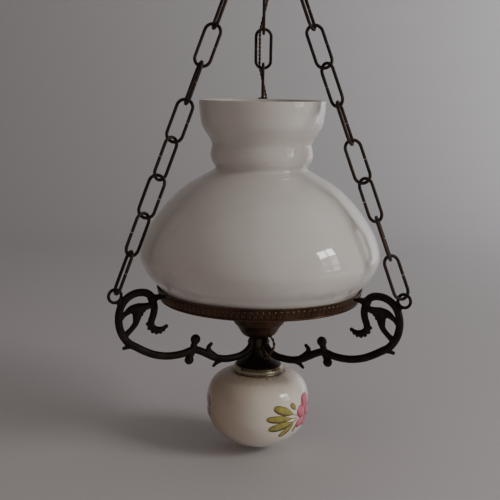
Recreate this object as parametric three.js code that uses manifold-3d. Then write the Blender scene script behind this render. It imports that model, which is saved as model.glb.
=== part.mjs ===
// Hanging lamp: an opal glass shade in a stamped gallery, carried by three cast scroll arms
// on three chains, with a ceramic ball below. Millimetres, +Z up. The origin is the centre of
// the ceiling plate's upper face, X to the right, Y away from the viewer.
import * as THREE from 'three';
import { mergeVertices } from 'three/addons/utils/BufferGeometryUtils.js';
import Module from 'manifold-3d';

const wasm = await Module();
wasm.setup();

// Fits
const fit = 0.3;                 // gap between two pieces that touch
const cutOverrun = 2;            // how far a cutting body runs past what it cuts

// Chains
const linkWire = 3.7;            // wire diameter of a link
const linkWidth = 22;            // outer width of a link
const linkPitch = 45.05;         // from one joint of the chain to the next
const linkPlay = 1.2;            // between the wires of two links on the chain's axis
const linkSlit = 0.5;            // butt joint in one long side
const linksPerChain = 10;
const crownRadius = 13;          // wire centre of the ring that gathers the chains
const crownWire = 3.5;
const bailRise = 26.2;           // from the ring to the top of the bail
const hangerDrop = 45;           // from the hook's wire to the bail's wire, less the wires

// Ceiling parts
const plateRadius = 42;
const plateThickness = 3;
const plateHoleRadius = 2.5;
const plateHoleReach = 30;
const bossRadius = 8;
const bossDepth = 12;
const stemRadius = 3.5;
const hookWire = 4;
const hookRadius = 10;           // wire centre of the hook's bow
const hookDrop = 78;             // ceiling to the lowest wire centre of the hook
const canopyRadius = 52;
const canopyDepth = 44;
const canopyWall = 1;
const canopyNeckRadius = 24;
const canopyNutRadius = 7;
const flexDownX = 16;            // from the axis to where the flex leaves the canopy
const canopyNutHeight = 5;
const terminalLength = 22;
const terminalWidth = 14;
const terminalHeight = 12;

// Arms
const armAzimuths = { arm_left: 210, arm_right: 330, arm_back: 90 };
const armReach = 61.6;           // gallery's upper edge out to the centre of an arm's eye
const eyeRadius = 7.5;           // wire centre of the eye
const eyeWire = 3.4;
const armDrop = 90.1;             // eye centre down to the lowest stretch of the arm
const armThickness = 6.5;         // across the arm's plane
const armBand = 8.6;             // width of the main scroll in the arm's plane
const headRadius = 5.4;          // knot where scroll, drop, leaf and tongue meet
const upperKnobRadius = 6;
const lowerKnobRadius = 5.6;
const footHeight = 14;
const screwRadius = 1.6;
const screwHeadRadius = 3;
const screwHeadHeight = 1.8;

// Gallery, from the eye downwards
const galleryDrop = 4.6;         // eye centre down to the ring's upper edge
const galleryRadius = 123.3;     // outer radius at the upper edge
const galleryTaper = 4;          // how far the ring is drawn in at its lower edge
const galleryHeight = 15.2;
const galleryWall = 1.2;
const shelfDepth = 8;            // how far the shelf reaches inwards
const shelfRise = 1.4;           // lower edge of the ring up to the shelf
const hubRadius = 38;
const spokeWidth = 12;
const spiderThickness = 2;

// Glass shade
const shadeWall = 3;
const shadeHeight = 232.2;
const shadeOverhang = 19.6;      // widest stretch, out past the gallery
const rimGap = 11.7;              // between the rim and the links beside it
const waistRadius = 58.6;        // under the flared rim
const beadRadius = 60.3;
const neckRadius = 54.4;         // where the neck meets the body

// Column
const rodRadius = 5;
const sleeveRadius = 6.5;
const cupRadius = 36;
const cupFootRadius = 12.2;
const cupDepth = 47.3;
const cupWall = 1;
const sleeveHeight = 13.6;
const coneRadius = 27.8;
const coneNeckRadius = 8;
const coneHeight = 19.5;
const coneWall = 0.9;
const collarRadius = 30.5;
const collarHeight = 7.6;
const ballRadius = 62.3;
const ballHeight = 101;          // of the whole rounded form
const ballWall = 5;
const ballBoreRadius = 12;
const washerRadius = 16;
const ballFootMargin = 4;        // flat round the washer
const footSink = 3;              // how far that flat is sunk
const washerThickness = 1.5;
const nutRadius = 8.5;
const nutHeight = 5;

// Lampholder and bulb
const holderRadius = 19.5;
const holderHeight = 52;
const socketRadius = 14.2;
const socketDepth = 30;
const bulbRadius = 30;
const bulbLength = 105;
const capRadius = 13;
const capLength = 26;

// Flex
const flexDiameter = 3.4;
const flexHoleRadius = 2.6;
const flexWeave = 4.6;           // half the side of the square that it winds round in a chain
const flexBehind = 15;           // behind the axis where it passes the hanging link's foot

// Smoothness
const latheSides = 32;
const smallSides = 20;
const wireSides = 6;
const cordSides = 8;

const bronze = { color: 0x3a2b22, roughness: 0.5, metalness: 0.8 };
const galleryBronze = { color: 0x5a3d26, roughness: 0.45, metalness: 0.8 };
const brass = { color: 0xb59a5c, roughness: 0.35, metalness: 0.9 };
const opal = { color: 0xf1efe9, roughness: 0.12, metalness: 0 };
const glaze = { color: 0xf0e9dc, roughness: 0.15, metalness: 0 };
const steel = { color: 0x9a9a96, roughness: 0.4, metalness: 0.9 };
const bakelite = { color: 0x2b211c, roughness: 0.4, metalness: 0 };
const clearGlass = { color: 0xf7f5ee, roughness: 0.1, metalness: 0 };
const cordBrown = { color: 0x5b4227, roughness: 0.8, metalness: 0 };

// Derived sizes and places, all from the sizes above
const eyeReach = galleryRadius + armReach;
const galleryFootRadius = galleryRadius - galleryTaper;
const shadeRadius = galleryRadius + shadeOverhang;
const linkReach = (linkWidth - linkWire) / 2;
const linkLength = linkPitch + linkWire + linkPlay;
const crownGap = (linkWire + crownWire) / 2 + linkPlay;
const eyeGap = (linkWire + eyeWire) / 2 + linkPlay;
const hookGap = (linkWire + hookWire) / 2 + linkPlay;
const chainRun = linksPerChain * linkPitch + linkWire + linkPlay - crownGap - eyeGap;
const hangerTopZ = -hookDrop + hookGap;
const hangerEndZ = hangerTopZ - linkLength;
const bailTopZ = hangerEndZ + crownGap;
const crownZ = bailTopZ - bailRise;
// The chain runs from the crown ring to the upper wire of the eye, so its lean follows both.
const chainLean = Math.asin((eyeReach - crownRadius) / (chainRun + eyeRadius));
const eyeZ = crownZ - (chainRun + eyeRadius) * Math.cos(chainLean);
const galleryTopZ = eyeZ - galleryDrop;
const galleryFootZ = galleryTopZ - galleryHeight;
const shelfZ = galleryFootZ + shelfRise;
const shelfTopZ = shelfZ + galleryWall;
const seatZ = shelfTopZ + fit;
const chainsAtRim = crownRadius + (crownZ - seatZ - shadeHeight) * Math.tan(chainLean);
const rimRadius = chainsAtRim - linkWidth / 2 - rimGap;
const spiderTopZ = shelfZ - fit;
const hubFootZ = spiderTopZ - spiderThickness;
const cupTopZ = hubFootZ - fit;
const cupFootZ = cupTopZ - cupDepth;
const sleeveTopZ = cupFootZ - fit;
const sleeveFootZ = sleeveTopZ - sleeveHeight;
const coneTopZ = sleeveFootZ - fit;
const coneFootZ = coneTopZ - coneHeight;
const collarTopZ = coneFootZ - fit;
const collarFootZ = collarTopZ - collarHeight;
const ballHalf = ballHeight / 2;
const ballSeat = ballHalf * Math.sqrt(1 - (collarRadius / ballRadius) ** 2);
const ballZ = collarFootZ - fit - ballSeat;
const rodBore = rodRadius + fit;

const degrees = Math.PI / 180;
const lamp = new THREE.Group();

// Solids and meshes

function toSolid(geometry) {
  const bare = geometry.index ? geometry.toNonIndexed() : geometry.clone();
  bare.deleteAttribute('normal');
  bare.deleteAttribute('uv');
  const merged = mergeVertices(bare, fit / 1000);
  const vertProperties = new Float32Array(merged.attributes.position.array);
  const corners = Array.from(merged.index.array);
  // Triangles that shrank to a line on the axis are left out.
  const triVerts = new Uint32Array(corners.filter((_, at) => {
    const [a, b, c] = corners.slice(at - (at % 3), at - (at % 3) + 3);
    return a !== b && b !== c && c !== a;
  }));
  return new wasm.Manifold(new wasm.Mesh({ numProp: 3, vertProperties, triVerts }));
}

function toGeometry(solid) {
  const mesh = solid.getMesh();
  const geometry = new THREE.BufferGeometry();
  geometry.setAttribute('position', new THREE.BufferAttribute(mesh.vertProperties, 3));
  geometry.setIndex(new THREE.BufferAttribute(mesh.triVerts, 1));
  geometry.computeVertexNormals();
  return geometry;
}

function joined(geometries) {
  return geometries.map(toSolid).reduce((whole, solid) => whole.add(solid));
}

function addPiece(name, geometry, finish, parent = lamp) {
  const mesh = new THREE.Mesh(geometry, new THREE.MeshStandardMaterial(finish));
  mesh.name = name;
  parent.add(mesh);
  return mesh;
}

// A body of revolution about Z from [radius, height] points, listed either way round.
function turned(points, sides = smallSides) {
  const profile = points.map(([radius, z]) => new THREE.Vector2(radius, z));
  if (THREE.ShapeUtils.area(profile) < 0) profile.reverse();
  return new THREE.LatheGeometry(profile, sides).rotateX(Math.PI / 2);
}

function cylinder(radius, from, to, sides = smallSides) {
  return turned([[0, from], [radius, from], [radius, to], [0, to]], sides);
}

// Corners of a closed bar, one ring of them at each place along it.
function ringed(rings) {
  const sides = rings[0].length;
  const last = rings.length - 1;
  const positions = rings.flat().flatMap((corner) => [corner.x, corner.y, corner.z]);
  const index = [];
  for (let ring = 0; ring < last; ring += 1) {
    for (let side = 0; side < sides; side += 1) {
      const next = (side + 1) % sides;
      const low = ring * sides;
      const high = low + sides;
      index.push(low + side, high + next, high + side);
      index.push(low + side, low + next, high + next);
    }
  }
  for (let side = 1; side < sides - 1; side += 1) {
    const end = last * sides;
    index.push(0, side + 1, side);
    index.push(end, end + side, end + side + 1);
  }
  const geometry = new THREE.BufferGeometry();
  geometry.setAttribute('position', new THREE.Float32BufferAttribute(positions, 3));
  geometry.setIndex(index);
  return geometry;
}

// A bar that follows points in the XZ plane. Its half width lies in that plane, its half depth
// across it, and both may change along the bar.
function bar(points, halfWidthAt, halfDepthAt, steps, sides = wireSides) {
  const curve = new THREE.CatmullRomCurve3(points, false, 'centripetal');
  const rings = [];
  for (let step = 0; step <= steps; step += 1) {
    const share = step / steps;
    const centre = curve.getPointAt(share);
    const tangent = curve.getTangentAt(share);
    const aside = new THREE.Vector3(tangent.z, 0, -tangent.x);
    rings.push(Array.from({ length: sides }, (_, side) => {
      const turn = (2 * Math.PI * (side + 1 / 2)) / sides;
      const corner = centre.clone().addScaledVector(aside, halfWidthAt(share) * Math.cos(turn));
      corner.y += halfDepthAt(share) * Math.sin(turn);
      return corner;
    }));
  }
  return ringed(rings);
}

// Shares and sizes for a piece's outline, scaled and set at a place.
function place(shares, width, height, x = 0, z = 0) {
  return shares.map(([across, up]) => [x + across * width, z + up * height]);
}

// Ceiling plate: a flat disc with a threaded boss for the hook and two holes for ceiling screws.
function ceilingPlate() {
  const disc = toSolid(turned([
    [0, -plateThickness],
    [stemRadius + fit, -plateThickness],
    [stemRadius + fit, -bossDepth],
    [bossRadius, -bossDepth],
    [bossRadius, -plateThickness],
    [plateRadius, -plateThickness],
    [plateRadius, 0],
    [0, 0],
  ]));
  const hole = cylinder(plateHoleRadius, -plateThickness - cutOverrun, cutOverrun);
  const holes = [-1, 1].map((side) => toSolid(hole.clone().translate(0, side * plateHoleReach, 0)));
  return toGeometry(holes.reduce((whole, cut) => whole.subtract(cut), disc));
}

// Ceiling hook: a threaded stem that thins into an open bow. The bow lies in the XZ plane.
function ceilingHook() {
  const bowZ = -hookDrop + hookRadius;
  const stemTop = -plateThickness - fit;
  const stemEnd = bowZ + hookRadius + hookWire;
  const points = [
    new THREE.Vector3(0, 0, stemTop),
    new THREE.Vector3(0, 0, (stemTop + stemEnd) / 2),
    new THREE.Vector3(0, 0, stemEnd + hookWire / 4),
    new THREE.Vector3(0, 0, stemEnd),
  ];
  const bowShares = [0.08, 0.22, 0.36, 0.5, 0.64, 0.78, 0.88];
  for (const share of bowShares) {
    const turn = Math.PI / 2 + share * 2 * Math.PI;
    points.push(new THREE.Vector3(
      hookRadius * Math.cos(turn), 0, bowZ + hookRadius * Math.sin(turn),
    ));
  }
  const thinShare = 0.5;
  const radiusAt = (share) => (share < thinShare ? stemRadius : hookWire / 2);
  return bar(points, radiusAt, radiusAt, 28);
}

// Ceiling canopy: a spun bell, open at the ceiling, with a hole for the stem and one for the flex.
function ceilingCanopy() {
  const bellShares = [[1, -0.02], [1, -0.13], [0.88, -0.31], [0.65, -0.54], [0.5, -0.77]];
  const outer = place(bellShares, canopyRadius, canopyDepth);
  outer.push([canopyNeckRadius, -canopyDepth]);
  const inner = outer.slice(0, -1).map(([radius, z]) => [radius - canopyWall, z]).reverse();
  const floor = -canopyDepth + canopyWall;
  const hole = stemRadius + fit;
  const shell = toSolid(turned([
    ...outer,
    [hole, -canopyDepth],
    [hole, floor],
    [canopyNeckRadius - canopyWall, floor],
    ...inner,
    outer[0],
  ]));
  const cut = cylinder(flexHoleRadius, -canopyDepth - cutOverrun, floor + cutOverrun);
  return toGeometry(shell.subtract(toSolid(cut.translate(flexDownX, 0, 0))));
}

// A hexagonal nut with a round bore.
function nut(radius, bore, foot, top) {
  const body = toSolid(cylinder(radius, foot, top, 6));
  return toGeometry(body.subtract(toSolid(cylinder(bore, foot - cutOverrun, top + cutOverrun))));
}

function canopyNut() {
  const top = -canopyDepth - fit;
  return nut(canopyNutRadius, stemRadius + fit, top - canopyNutHeight, top);
}

// Terminal block: hangs under the plate beside the boss, above the flex.
function terminalBlock() {
  const block = new THREE.BoxGeometry(terminalLength, terminalWidth, terminalHeight);
  const x = bossRadius + fit + terminalLength / 2;
  return block.translate(x, 0, -plateThickness - fit - terminalHeight / 2);
}

// One chain link in its own frame: its long axis on Z from 0 up, its width on X. The wire is
// bent to a long oval and meets itself in a butt joint in the middle of one long side.
function chainLink() {
  const points = [];
  const half = linkLength / 2;
  const bend = linkReach;
  points.push(new THREE.Vector3(linkReach, 0, half + linkSlit / 2));
  points.push(new THREE.Vector3(linkReach, 0, linkLength - bend));
  const arcSteps = 4;
  for (let step = 1; step < arcSteps; step += 1) {
    const turn = (Math.PI * step) / arcSteps;
    points.push(new THREE.Vector3(
      bend * Math.cos(turn), 0, linkLength - bend + bend * Math.sin(turn),
    ));
  }
  points.push(new THREE.Vector3(-linkReach, 0, linkLength - bend));
  points.push(new THREE.Vector3(-linkReach, 0, bend));
  for (let step = 1; step < arcSteps; step += 1) {
    const turn = Math.PI + (Math.PI * step) / arcSteps;
    points.push(new THREE.Vector3(bend * Math.cos(turn), 0, bend + bend * Math.sin(turn)));
  }
  points.push(new THREE.Vector3(linkReach, 0, bend));
  points.push(new THREE.Vector3(linkReach, 0, half - linkSlit / 2));
  return wire(points, linkWire / 2);
}

// A wire with one mitred ring of corners at each point, in the XZ plane.
function wire(points, radius, sides = wireSides) {
  const last = points.length - 1;
  const rings = points.map((point, at) => {
    const come = point.clone().sub(points[Math.max(at - 1, 0)]).normalize();
    const go = points[Math.min(at + 1, last)].clone().sub(point).normalize();
    const along = come.clone().add(go).normalize();
    const mitre = 1 / along.dot(at ? come : go);
    const aside = new THREE.Vector3(along.z, 0, -along.x);
    return Array.from({ length: sides }, (_, side) => {
      const turn = (2 * Math.PI * (side + 1 / 2)) / sides;
      const corner = point.clone().addScaledVector(aside, radius * mitre * Math.cos(turn));
      corner.y += radius * Math.sin(turn);
      return corner;
    });
  });
  return ringed(rings);
}

// Chain crown: a flat ring for the three chains, with a bail above it in the XZ plane.
function chainCrown() {
  const radius = crownWire / 2;
  const ring = new THREE.TorusGeometry(crownRadius, radius, wireSides, 18);
  const shoulder = bailRise - crownRadius;
  const points = [new THREE.Vector3(crownRadius, 0, 0), new THREE.Vector3(crownRadius, 0, shoulder)];
  const arcSteps = 6;
  for (let step = 1; step < arcSteps; step += 1) {
    const turn = (Math.PI * step) / arcSteps;
    points.push(new THREE.Vector3(
      crownRadius * Math.cos(turn), 0, shoulder + crownRadius * Math.sin(turn),
    ));
  }
  points.push(new THREE.Vector3(-crownRadius, 0, shoulder));
  points.push(new THREE.Vector3(-crownRadius, 0, 0));
  return toGeometry(joined([ring, wire(points, radius)]));
}

// The twin flex, as one round cord on each of its three stretches. The helix that it winds
// through the back chain makes a quarter turn for each link, close round a square.
const flexGap = fit * 0.9;
function weave() {
  const lean = new THREE.Vector3(0, -Math.sin(chainLean), Math.cos(chainLean));
  const outward = new THREE.Vector3(0, Math.cos(chainLean), Math.sin(chainLean));
  const eyeTop = new THREE.Vector3(0, eyeReach, eyeZ).addScaledVector(lean, eyeRadius);
  const firstJoint = eyeTop.clone().addScaledVector(lean, -(eyeWire + linkPlay) / 2);
  const points = [];
  const stepsPerLink = 6;
  const topJoint = linksPerChain - 1;
  for (let step = 0; step <= (topJoint - 1) * stepsPerLink; step += 1) {
    const joint = topJoint - step / stepsPerLink;
    const turn = -Math.PI / 4 - (Math.PI / 2) * (topJoint - joint);
    const side = (value) => Math.max(-1, Math.min(1, value * Math.SQRT2)) * flexWeave;
    const point = firstJoint.clone().addScaledVector(lean, joint * linkPitch);
    point.addScaledVector(outward, side(Math.cos(turn)));
    point.x -= side(Math.sin(turn));
    points.push(point);
  }
  return points;
}

// The flex's routes: shares of how far it stands off and of the height of each stretch.
const vector = (x, y, z) => new THREE.Vector3(x, y, z);
const flexSide = (armThickness + flexDiameter) / 2 + 3 * fit;
const terminalShare = 1.12;
const upperShares = [[1.06, 0.385], [1, 0.564], [1, 0.769]];
const flexUpperRoute = [
  vector(flexDownX * terminalShare, 0, -plateThickness - terminalHeight - 3 * fit),
  ...upperShares.map(([out, down]) => vector(flexDownX * out, 0, -hookDrop * down)),
  vector(flexDownX, 0, -hookDrop + flexGap),
];
const middleShares = [
  [1, 0.03, 0.112], [0.853, 0.433, 0.381], [0.559, 0.833, 0.649], [0.147, 1, 0.806], [0.01, 1, 0.907],
];
const flexMiddleRoute = [
  vector(flexDownX, 0, -hookDrop - flexGap),
  ...middleShares.map(([out, back, down]) => vector(
    flexDownX * out, flexBehind * back, -hookDrop + (hangerEndZ + hookDrop) * down,
  )),
  vector(0, flexBehind, hangerEndZ + flexGap),
];
const crownShares = [[0, 1.007, 0.205], [0.286, 1.067, 0.441], [0.821, 1.2, 0.771], [1.18, 1.367, 1.149]];
const armShares = [
  [1.14, 0.957, -0.311], [1.18, 1.009, -0.133], [1.11, 1.028, 0.044], [1.04, 1.006, 0.222],
  [1, 0.979, 0.4], [1, 0.946, 0.556], [1, 0.882, 0.667], [1, 0.79, 0.778], [1, 0.681, 0.85],
  [1, 0.584, 0.861], [1, 0.492, 0.833], [1, 0.411, 0.867], [1, 0.335, 0.939], [1, 0.249, 0.994],
  [1.02, 0.178, 1], [1.14, 0.13, 0.994],
];
const hubShare = 0.306;
const columnShares = [
  [0.266, 0.633, 0.477], [0.331, 0.396, 0.641], [0.403, 0.108, 0.723], [0.396, -0.18, 0.692],
  [0.345, -0.414, 0.579], [0.41, -0.619, 0.333], [0.568, -0.741, -0.051], [0.669, -0.727, -0.462],
  [0.612, -0.619, -0.754], [0.468, -0.496, -1.026], [0.36, -0.381, -1.564],
  [hubShare, -hubShare, -2.179], [hubShare, -hubShare, -2.692],
];
const flexRoute = [
  vector(0, flexBehind, hangerEndZ - flexGap),
  ...crownShares.map(([side, back, down]) => vector(
    flexSide * side, flexBehind * back, hangerEndZ - (hangerEndZ - crownZ) * down,
  )),
  ...weave(),
  ...armShares.map(([side, out, down]) => vector(
    flexSide * side, eyeReach * out, eyeZ - armDrop * down,
  )),
  ...columnShares.map(([side, back, down]) => vector(
    coneRadius * side, coneRadius * back, coneTopZ - coneHeight * down,
  )),
  vector(coneRadius * hubShare, -coneRadius * hubShare, spiderTopZ - fit),
];

// A cord along a route, or the hole that it goes through, with the same corners.
function cord(route, steps, diameter = flexDiameter) {
  const corners = Array.from({ length: cordSides }, (_, side) => {
    const turn = (2 * Math.PI * side) / cordSides;
    return new THREE.Vector2(Math.cos(turn), Math.sin(turn)).multiplyScalar(diameter / 2);
  });
  return new THREE.ExtrudeGeometry(new THREE.Shape(corners), {
    steps,
    bevelEnabled: false,
    extrudePath: new THREE.CatmullRomCurve3(route, false, 'centripetal'),
  });
}

const flexSteps = { upper: 5, middle: 5, whole: 70 };
const flexTunnel = toSolid(cord(flexRoute, flexSteps.whole, 2 * flexHoleRadius));

function bored(geometry) {
  return toGeometry(toSolid(geometry).subtract(flexTunnel));
}

// Points of an arm in its own plane: shares of the span from the sleeve to the eye, and of the
// drop from the eye down to the arm's lowest stretch.
const footReach = sleeveRadius + fit;
const armSpan = eyeReach - footReach;
function armPoint([across, down]) {
  return new THREE.Vector3(footReach + across * armSpan, 0, eyeZ - down * armDrop);
}

const scrollShares = [
  [0.019, 0.765], [0.019, 0.831], [0.029, 0.892], [0.055, 0.944], [0.097, 0.986],
  [0.158, 1.004], [0.229, 1.001], [0.298, 0.963], [0.349, 0.909], [0.392, 0.862],
  [0.442, 0.823], [0.481, 0.827], [0.522, 0.849], [0.584, 0.86], [0.657, 0.852],
  [0.738, 0.811], [0.807, 0.746], [0.861, 0.682], [0.906, 0.626], [0.939, 0.552],
  [0.962, 0.469], [0.974, 0.38], [0.977, 0.294], [0.972, 0.211], [0.957, 0.13],
  [0.934, 0.067], [0.902, 0.02], [0.866, -0.007], [0.825, -0.014], [0.785, 0.003],
  [0.754, 0.053], [0.74, 0.131], [0.734, 0.198], [0.74, 0.286], [0.755, 0.368],
  [0.757, 0.42], [0.739, 0.468], [0.712, 0.492], [0.679, 0.488], [0.651, 0.46],
];
const leafShares = [
  [0.742, 0.15], [0.79, 0.172], [0.844, 0.182], [0.891, 0.19], [0.939, 0.252], [0.966, 0.3],
];
const leafTailShares = [
  [0.848, 0.19], [0.861, 0.3], [0.877, 0.379], [0.908, 0.437], [0.933, 0.498], [0.944, 0.54],
];
const upperThornShares = [[0.292, 0.96], [0.336, 0.873], [0.345, 0.817], [0.325, 0.772]];
const lowerThornShares = [[0.23, 0.995], [0.281, 1.036], [0.307, 1.078]];
const outerThornShares = [[0.872, 0.655], [0.916, 0.667], [0.953, 0.682]];
const headShare = [0.749, 0.072];
const upperKnobShare = [0.441, 0.684];
const lowerKnobShare = [0.487, 0.947];
const knobStemShare = [0.462, 0.82];
const tongueShare = [0.757, 0.09];
const eyeRootShare = [0.952, 0.16];
// How the scroll thins: least width or depth, and the stretch over which it is reached.
const footWidthShare = 0.8;
const footShare = 0.06;
const tipWidthShare = 0.38;
const tipShare = 0.12;
const tipDepthShare = 0.6;
const tipDepthReachShare = 0.1;

// An arm in its own plane: X away from the lamp's axis. Its foot stands against the sleeve,
// its tongue against the gallery, and the chain hangs in its eye.
function scrollArm() {
  const half = armBand / 2;
  const depth = armThickness / 2;
  const taper = (root, tip) => (share) => root + (tip - root) * share;
  const eased = (least, share, reachShare) => taper(least, 1)(Math.min(1, share / reachShare));
  const widthAt = (share) => (
    half * eased(footWidthShare, share, footShare) * eased(tipWidthShare, 1 - share, tipShare)
  );
  const depthAt = (share) => depth * eased(tipDepthShare, 1 - share, tipDepthReachShare);
  const branch = (shares, root, tip, steps) => (
    bar(shares.map(armPoint), taper(root, tip), taper(0.9 * depth, tip), steps)
  );
  const knob = (share, radius) => {
    const centre = armPoint(share);
    return new THREE.SphereGeometry(radius, 8, 5).translate(centre.x, 0, centre.z);
  };
  const knobStem = bar(
    [armPoint(upperKnobShare), armPoint(knobStemShare), armPoint(lowerKnobShare)],
    () => half * 0.9, () => depth * 0.8, 4,
  );
  const tipRadius = half / 3;
  const tongueRoot = armPoint(tongueShare);
  const tongueTip = vector(galleryRadius + fit, 0, galleryTopZ - tipRadius);
  const tongue = bar(
    [tongueRoot, tongueRoot.clone().lerp(tongueTip, 0.5).setZ(tongueTip.z), tongueTip],
    taper(half * 1.1, tipRadius), taper(depth * 0.9, tipRadius), 4,
  );
  const eye = new THREE.TorusGeometry(eyeRadius, eyeWire / 2, wireSides, 12);
  eye.rotateX(Math.PI / 2).translate(eyeReach, 0, eyeZ);
  const eyeRoot = armPoint(eyeRootShare);
  const eyeCentre = vector(eyeReach, 0, eyeZ);
  const eyeEdge = eyeRoot.clone().sub(eyeCentre).setLength(eyeRadius + eyeWire * 0.4).add(eyeCentre);
  const eyeStem = bar([eyeEdge, eyeRoot], () => half * 0.75, () => depth * 0.7, 1);
  const casting = joined([
    bar(scrollShares.map(armPoint), widthAt, depthAt, 48),
    branch(leafShares, half * 0.7, half * 0.8, 6),
    branch(leafTailShares, half * 1.15, half * 0.65, 5),
    branch(upperThornShares, half, half * 0.5, 4),
    branch(lowerThornShares, half * 0.8, half * 0.4, 3),
    branch(outerThornShares, half * 0.8, half * 0.4, 3),
    knob(headShare, headRadius),
    knob(upperKnobShare, upperKnobRadius),
    knob(lowerKnobShare, lowerKnobRadius),
    knobStem,
    tongue,
    eye,
    eyeStem,
  ]);
  const sleeveRoom = toSolid(cylinder(footReach, coneTopZ, cupTopZ));
  const screwRoom = toSolid(screwBody(fit / 2));
  return toGeometry(casting.subtract(sleeveRoom).subtract(screwRoom));
}

// Foot screw, countersunk flush into the foot. With an allowance it is the hole for the screw.
const footOuter = footReach + scrollShares[0][0] * armSpan + (footWidthShare * armBand) / 2;
function screwBody(allowance = 0) {
  const radius = screwRadius + allowance;
  const head = screwHeadRadius + allowance;
  const inner = rodRadius + fit - allowance;
  const outer = footOuter + (allowance ? cutOverrun : 0);
  const body = turned([
    [0, inner],
    [radius, inner],
    [radius, footOuter - screwHeadHeight],
    [head, footOuter],
    [head, outer],
    [0, outer],
  ], 8);
  return body.rotateY(Math.PI / 2).translate(0, 0, sleeveTopZ - footHeight / 3);
}

// A wall of even thickness inside an outline that runs from top to foot.
function shelled(outline, wall) {
  const inner = outline.map((point, at) => {
    const before = outline[Math.max(at - 1, 0)];
    const after = outline[Math.min(at + 1, outline.length - 1)];
    const length = Math.hypot(after[0] - before[0], after[1] - before[1]);
    const inwardX = (after[1] - before[1]) / length;
    const inwardZ = -(after[0] - before[0]) / length;
    return [point[0] + inwardX * wall, point[1] + inwardZ * wall];
  });
  return [...outline, ...inner.reverse(), outline[0]];
}

function smooth(points, steps) {
  const curve = new THREE.SplineCurve(points.map(([x, z]) => new THREE.Vector2(x, z)));
  return curve.getPoints(steps).map((point) => [point.x, point.y]);
}

// Gallery ring: a stamped band that leans in towards its foot, with a shelf for the shade.
function galleryRing() {
  const inner = galleryFootRadius - galleryWall;
  return turned([
    [galleryRadius, galleryTopZ],
    [galleryFootRadius, galleryFootZ],
    [inner, galleryFootZ],
    [inner, shelfZ],
    [inner - shelfDepth, shelfZ],
    [inner - shelfDepth, shelfTopZ],
    [inner, shelfTopZ],
    [galleryRadius - galleryWall, galleryTopZ],
    [galleryRadius, galleryTopZ],
  ], 48);
}

// Gallery spider: a hub disc on the rod, with three spokes under the shelf.
function gallerySpider() {
  const reach = galleryFootRadius - galleryWall - 3 * fit;
  const spokes = [30, 150, 270].map((azimuth) => {
    const spoke = new THREE.BoxGeometry(reach - hubRadius / 2, spokeWidth, spiderThickness);
    spoke.translate((reach + hubRadius / 2) / 2, 0, (spiderTopZ + hubFootZ) / 2);
    return spoke.rotateZ(azimuth * degrees);
  });
  const hub = turned([
    [rodBore, hubFootZ],
    [hubRadius, hubFootZ],
    [hubRadius, spiderTopZ],
    [rodBore, spiderTopZ],
    [rodBore, hubFootZ],
  ]);
  return toGeometry(joined([hub, ...spokes]).subtract(flexTunnel));
}

// Glass shade: a flared rim, a beaded neck and a wide body that is drawn in to the fitter.
const rimShares = [
  [1, 1], [0.998, 0.964], [0.983, 0.916], [0.95, 0.862], [0.886, 0.824], [0.824, 0.792],
];
const neckShares = { waist: 0.765, shoulder: 0.738, bead: 0.703, hollow: 0.672, foot: 0.637 };
const bodyShares = [
  [0.445, 0.609], [0.614, 0.544], [0.751, 0.465], [0.873, 0.366], [0.96, 0.267],
  [1, 0.165], [0.985, 0.119], [0.942, 0.063], [0.876, 0.017],
];
const fitterShares = [[1.022, 0.746], [1.008, 0.44], [1, 0]];
function glassShade() {
  const fitterRadius = galleryFootRadius - galleryWall - 3 * fit;
  const bodyHeight = shadeHeight - galleryHeight;
  const upper = [
    ...rimShares.map(([across, share]) => [across * rimRadius, share]),
    [waistRadius, neckShares.waist],
    [(waistRadius + beadRadius) / 2, neckShares.shoulder],
    [beadRadius, neckShares.bead],
    [(neckRadius + beadRadius * 2) / 3, neckShares.hollow],
    [neckRadius, neckShares.foot],
    ...bodyShares.map(([across, share]) => [across * shadeRadius, share]),
  ].map(([radius, share]) => [radius, seatZ + galleryHeight + share * bodyHeight]);
  const fitter = fitterShares.map(([across, share]) => (
    [fitterRadius * across, seatZ + galleryHeight * share]
  ));
  const outline = [...upper, ...fitter];
  return turned(shelled(smooth(outline, 20), shadeWall), latheSides);
}

// Cup: a spun bowl under the hub, with a hole for the rod and one for the flex.
const cupShares = [[1, 0], [0.99, 0.22], [0.89, 0.53], [0.71, 0.73], [0.54, 0.92]];
function cup() {
  const bowl = cupShares.map(([across, down]) => [across * cupRadius, cupTopZ - down * cupDepth]);
  const outline = [...smooth([...bowl, [cupFootRadius, cupFootZ]], 8), [rodBore, cupFootZ]];
  return bored(turned(shelled(outline, cupWall)));
}

function columnSleeve() {
  const tube = toSolid(turned([
    [rodBore, sleeveFootZ],
    [sleeveRadius, sleeveFootZ],
    [sleeveRadius, sleeveTopZ],
    [rodBore, sleeveTopZ],
    [rodBore, sleeveFootZ],
  ]));
  const holes = Object.values(armAzimuths).map((azimuth) => (
    toSolid(screwBody(fit / 2).rotateZ(azimuth * degrees))
  ));
  return toGeometry(holes.reduce((whole, hole) => whole.subtract(hole), tube));
}

// Cone: a thin trumpet over the collar. The flex goes in at its back and out at its front.
const coneShares = [[0, 0], [0.05, 0.18], [0.15, 0.36], [0.33, 0.54], [0.58, 0.71], [0.86, 0.88]];
function cone() {
  const flare = coneRadius - coneNeckRadius;
  const trumpet = coneShares.map(([out, down]) => (
    [coneNeckRadius + out * flare, coneTopZ - down * coneHeight]
  ));
  const outline = smooth([...trumpet, [coneRadius, coneFootZ]], 7);
  const inner = outline.map(([radius, z]) => [radius - coneWall, z]);
  inner[0] = [rodBore, coneTopZ];
  inner.splice(1, 0, [rodBore, coneTopZ - coneWall], [coneNeckRadius - coneWall, coneTopZ - coneWall]);
  return bored(turned([...outline, ...inner.reverse(), outline[0]]));
}

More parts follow.
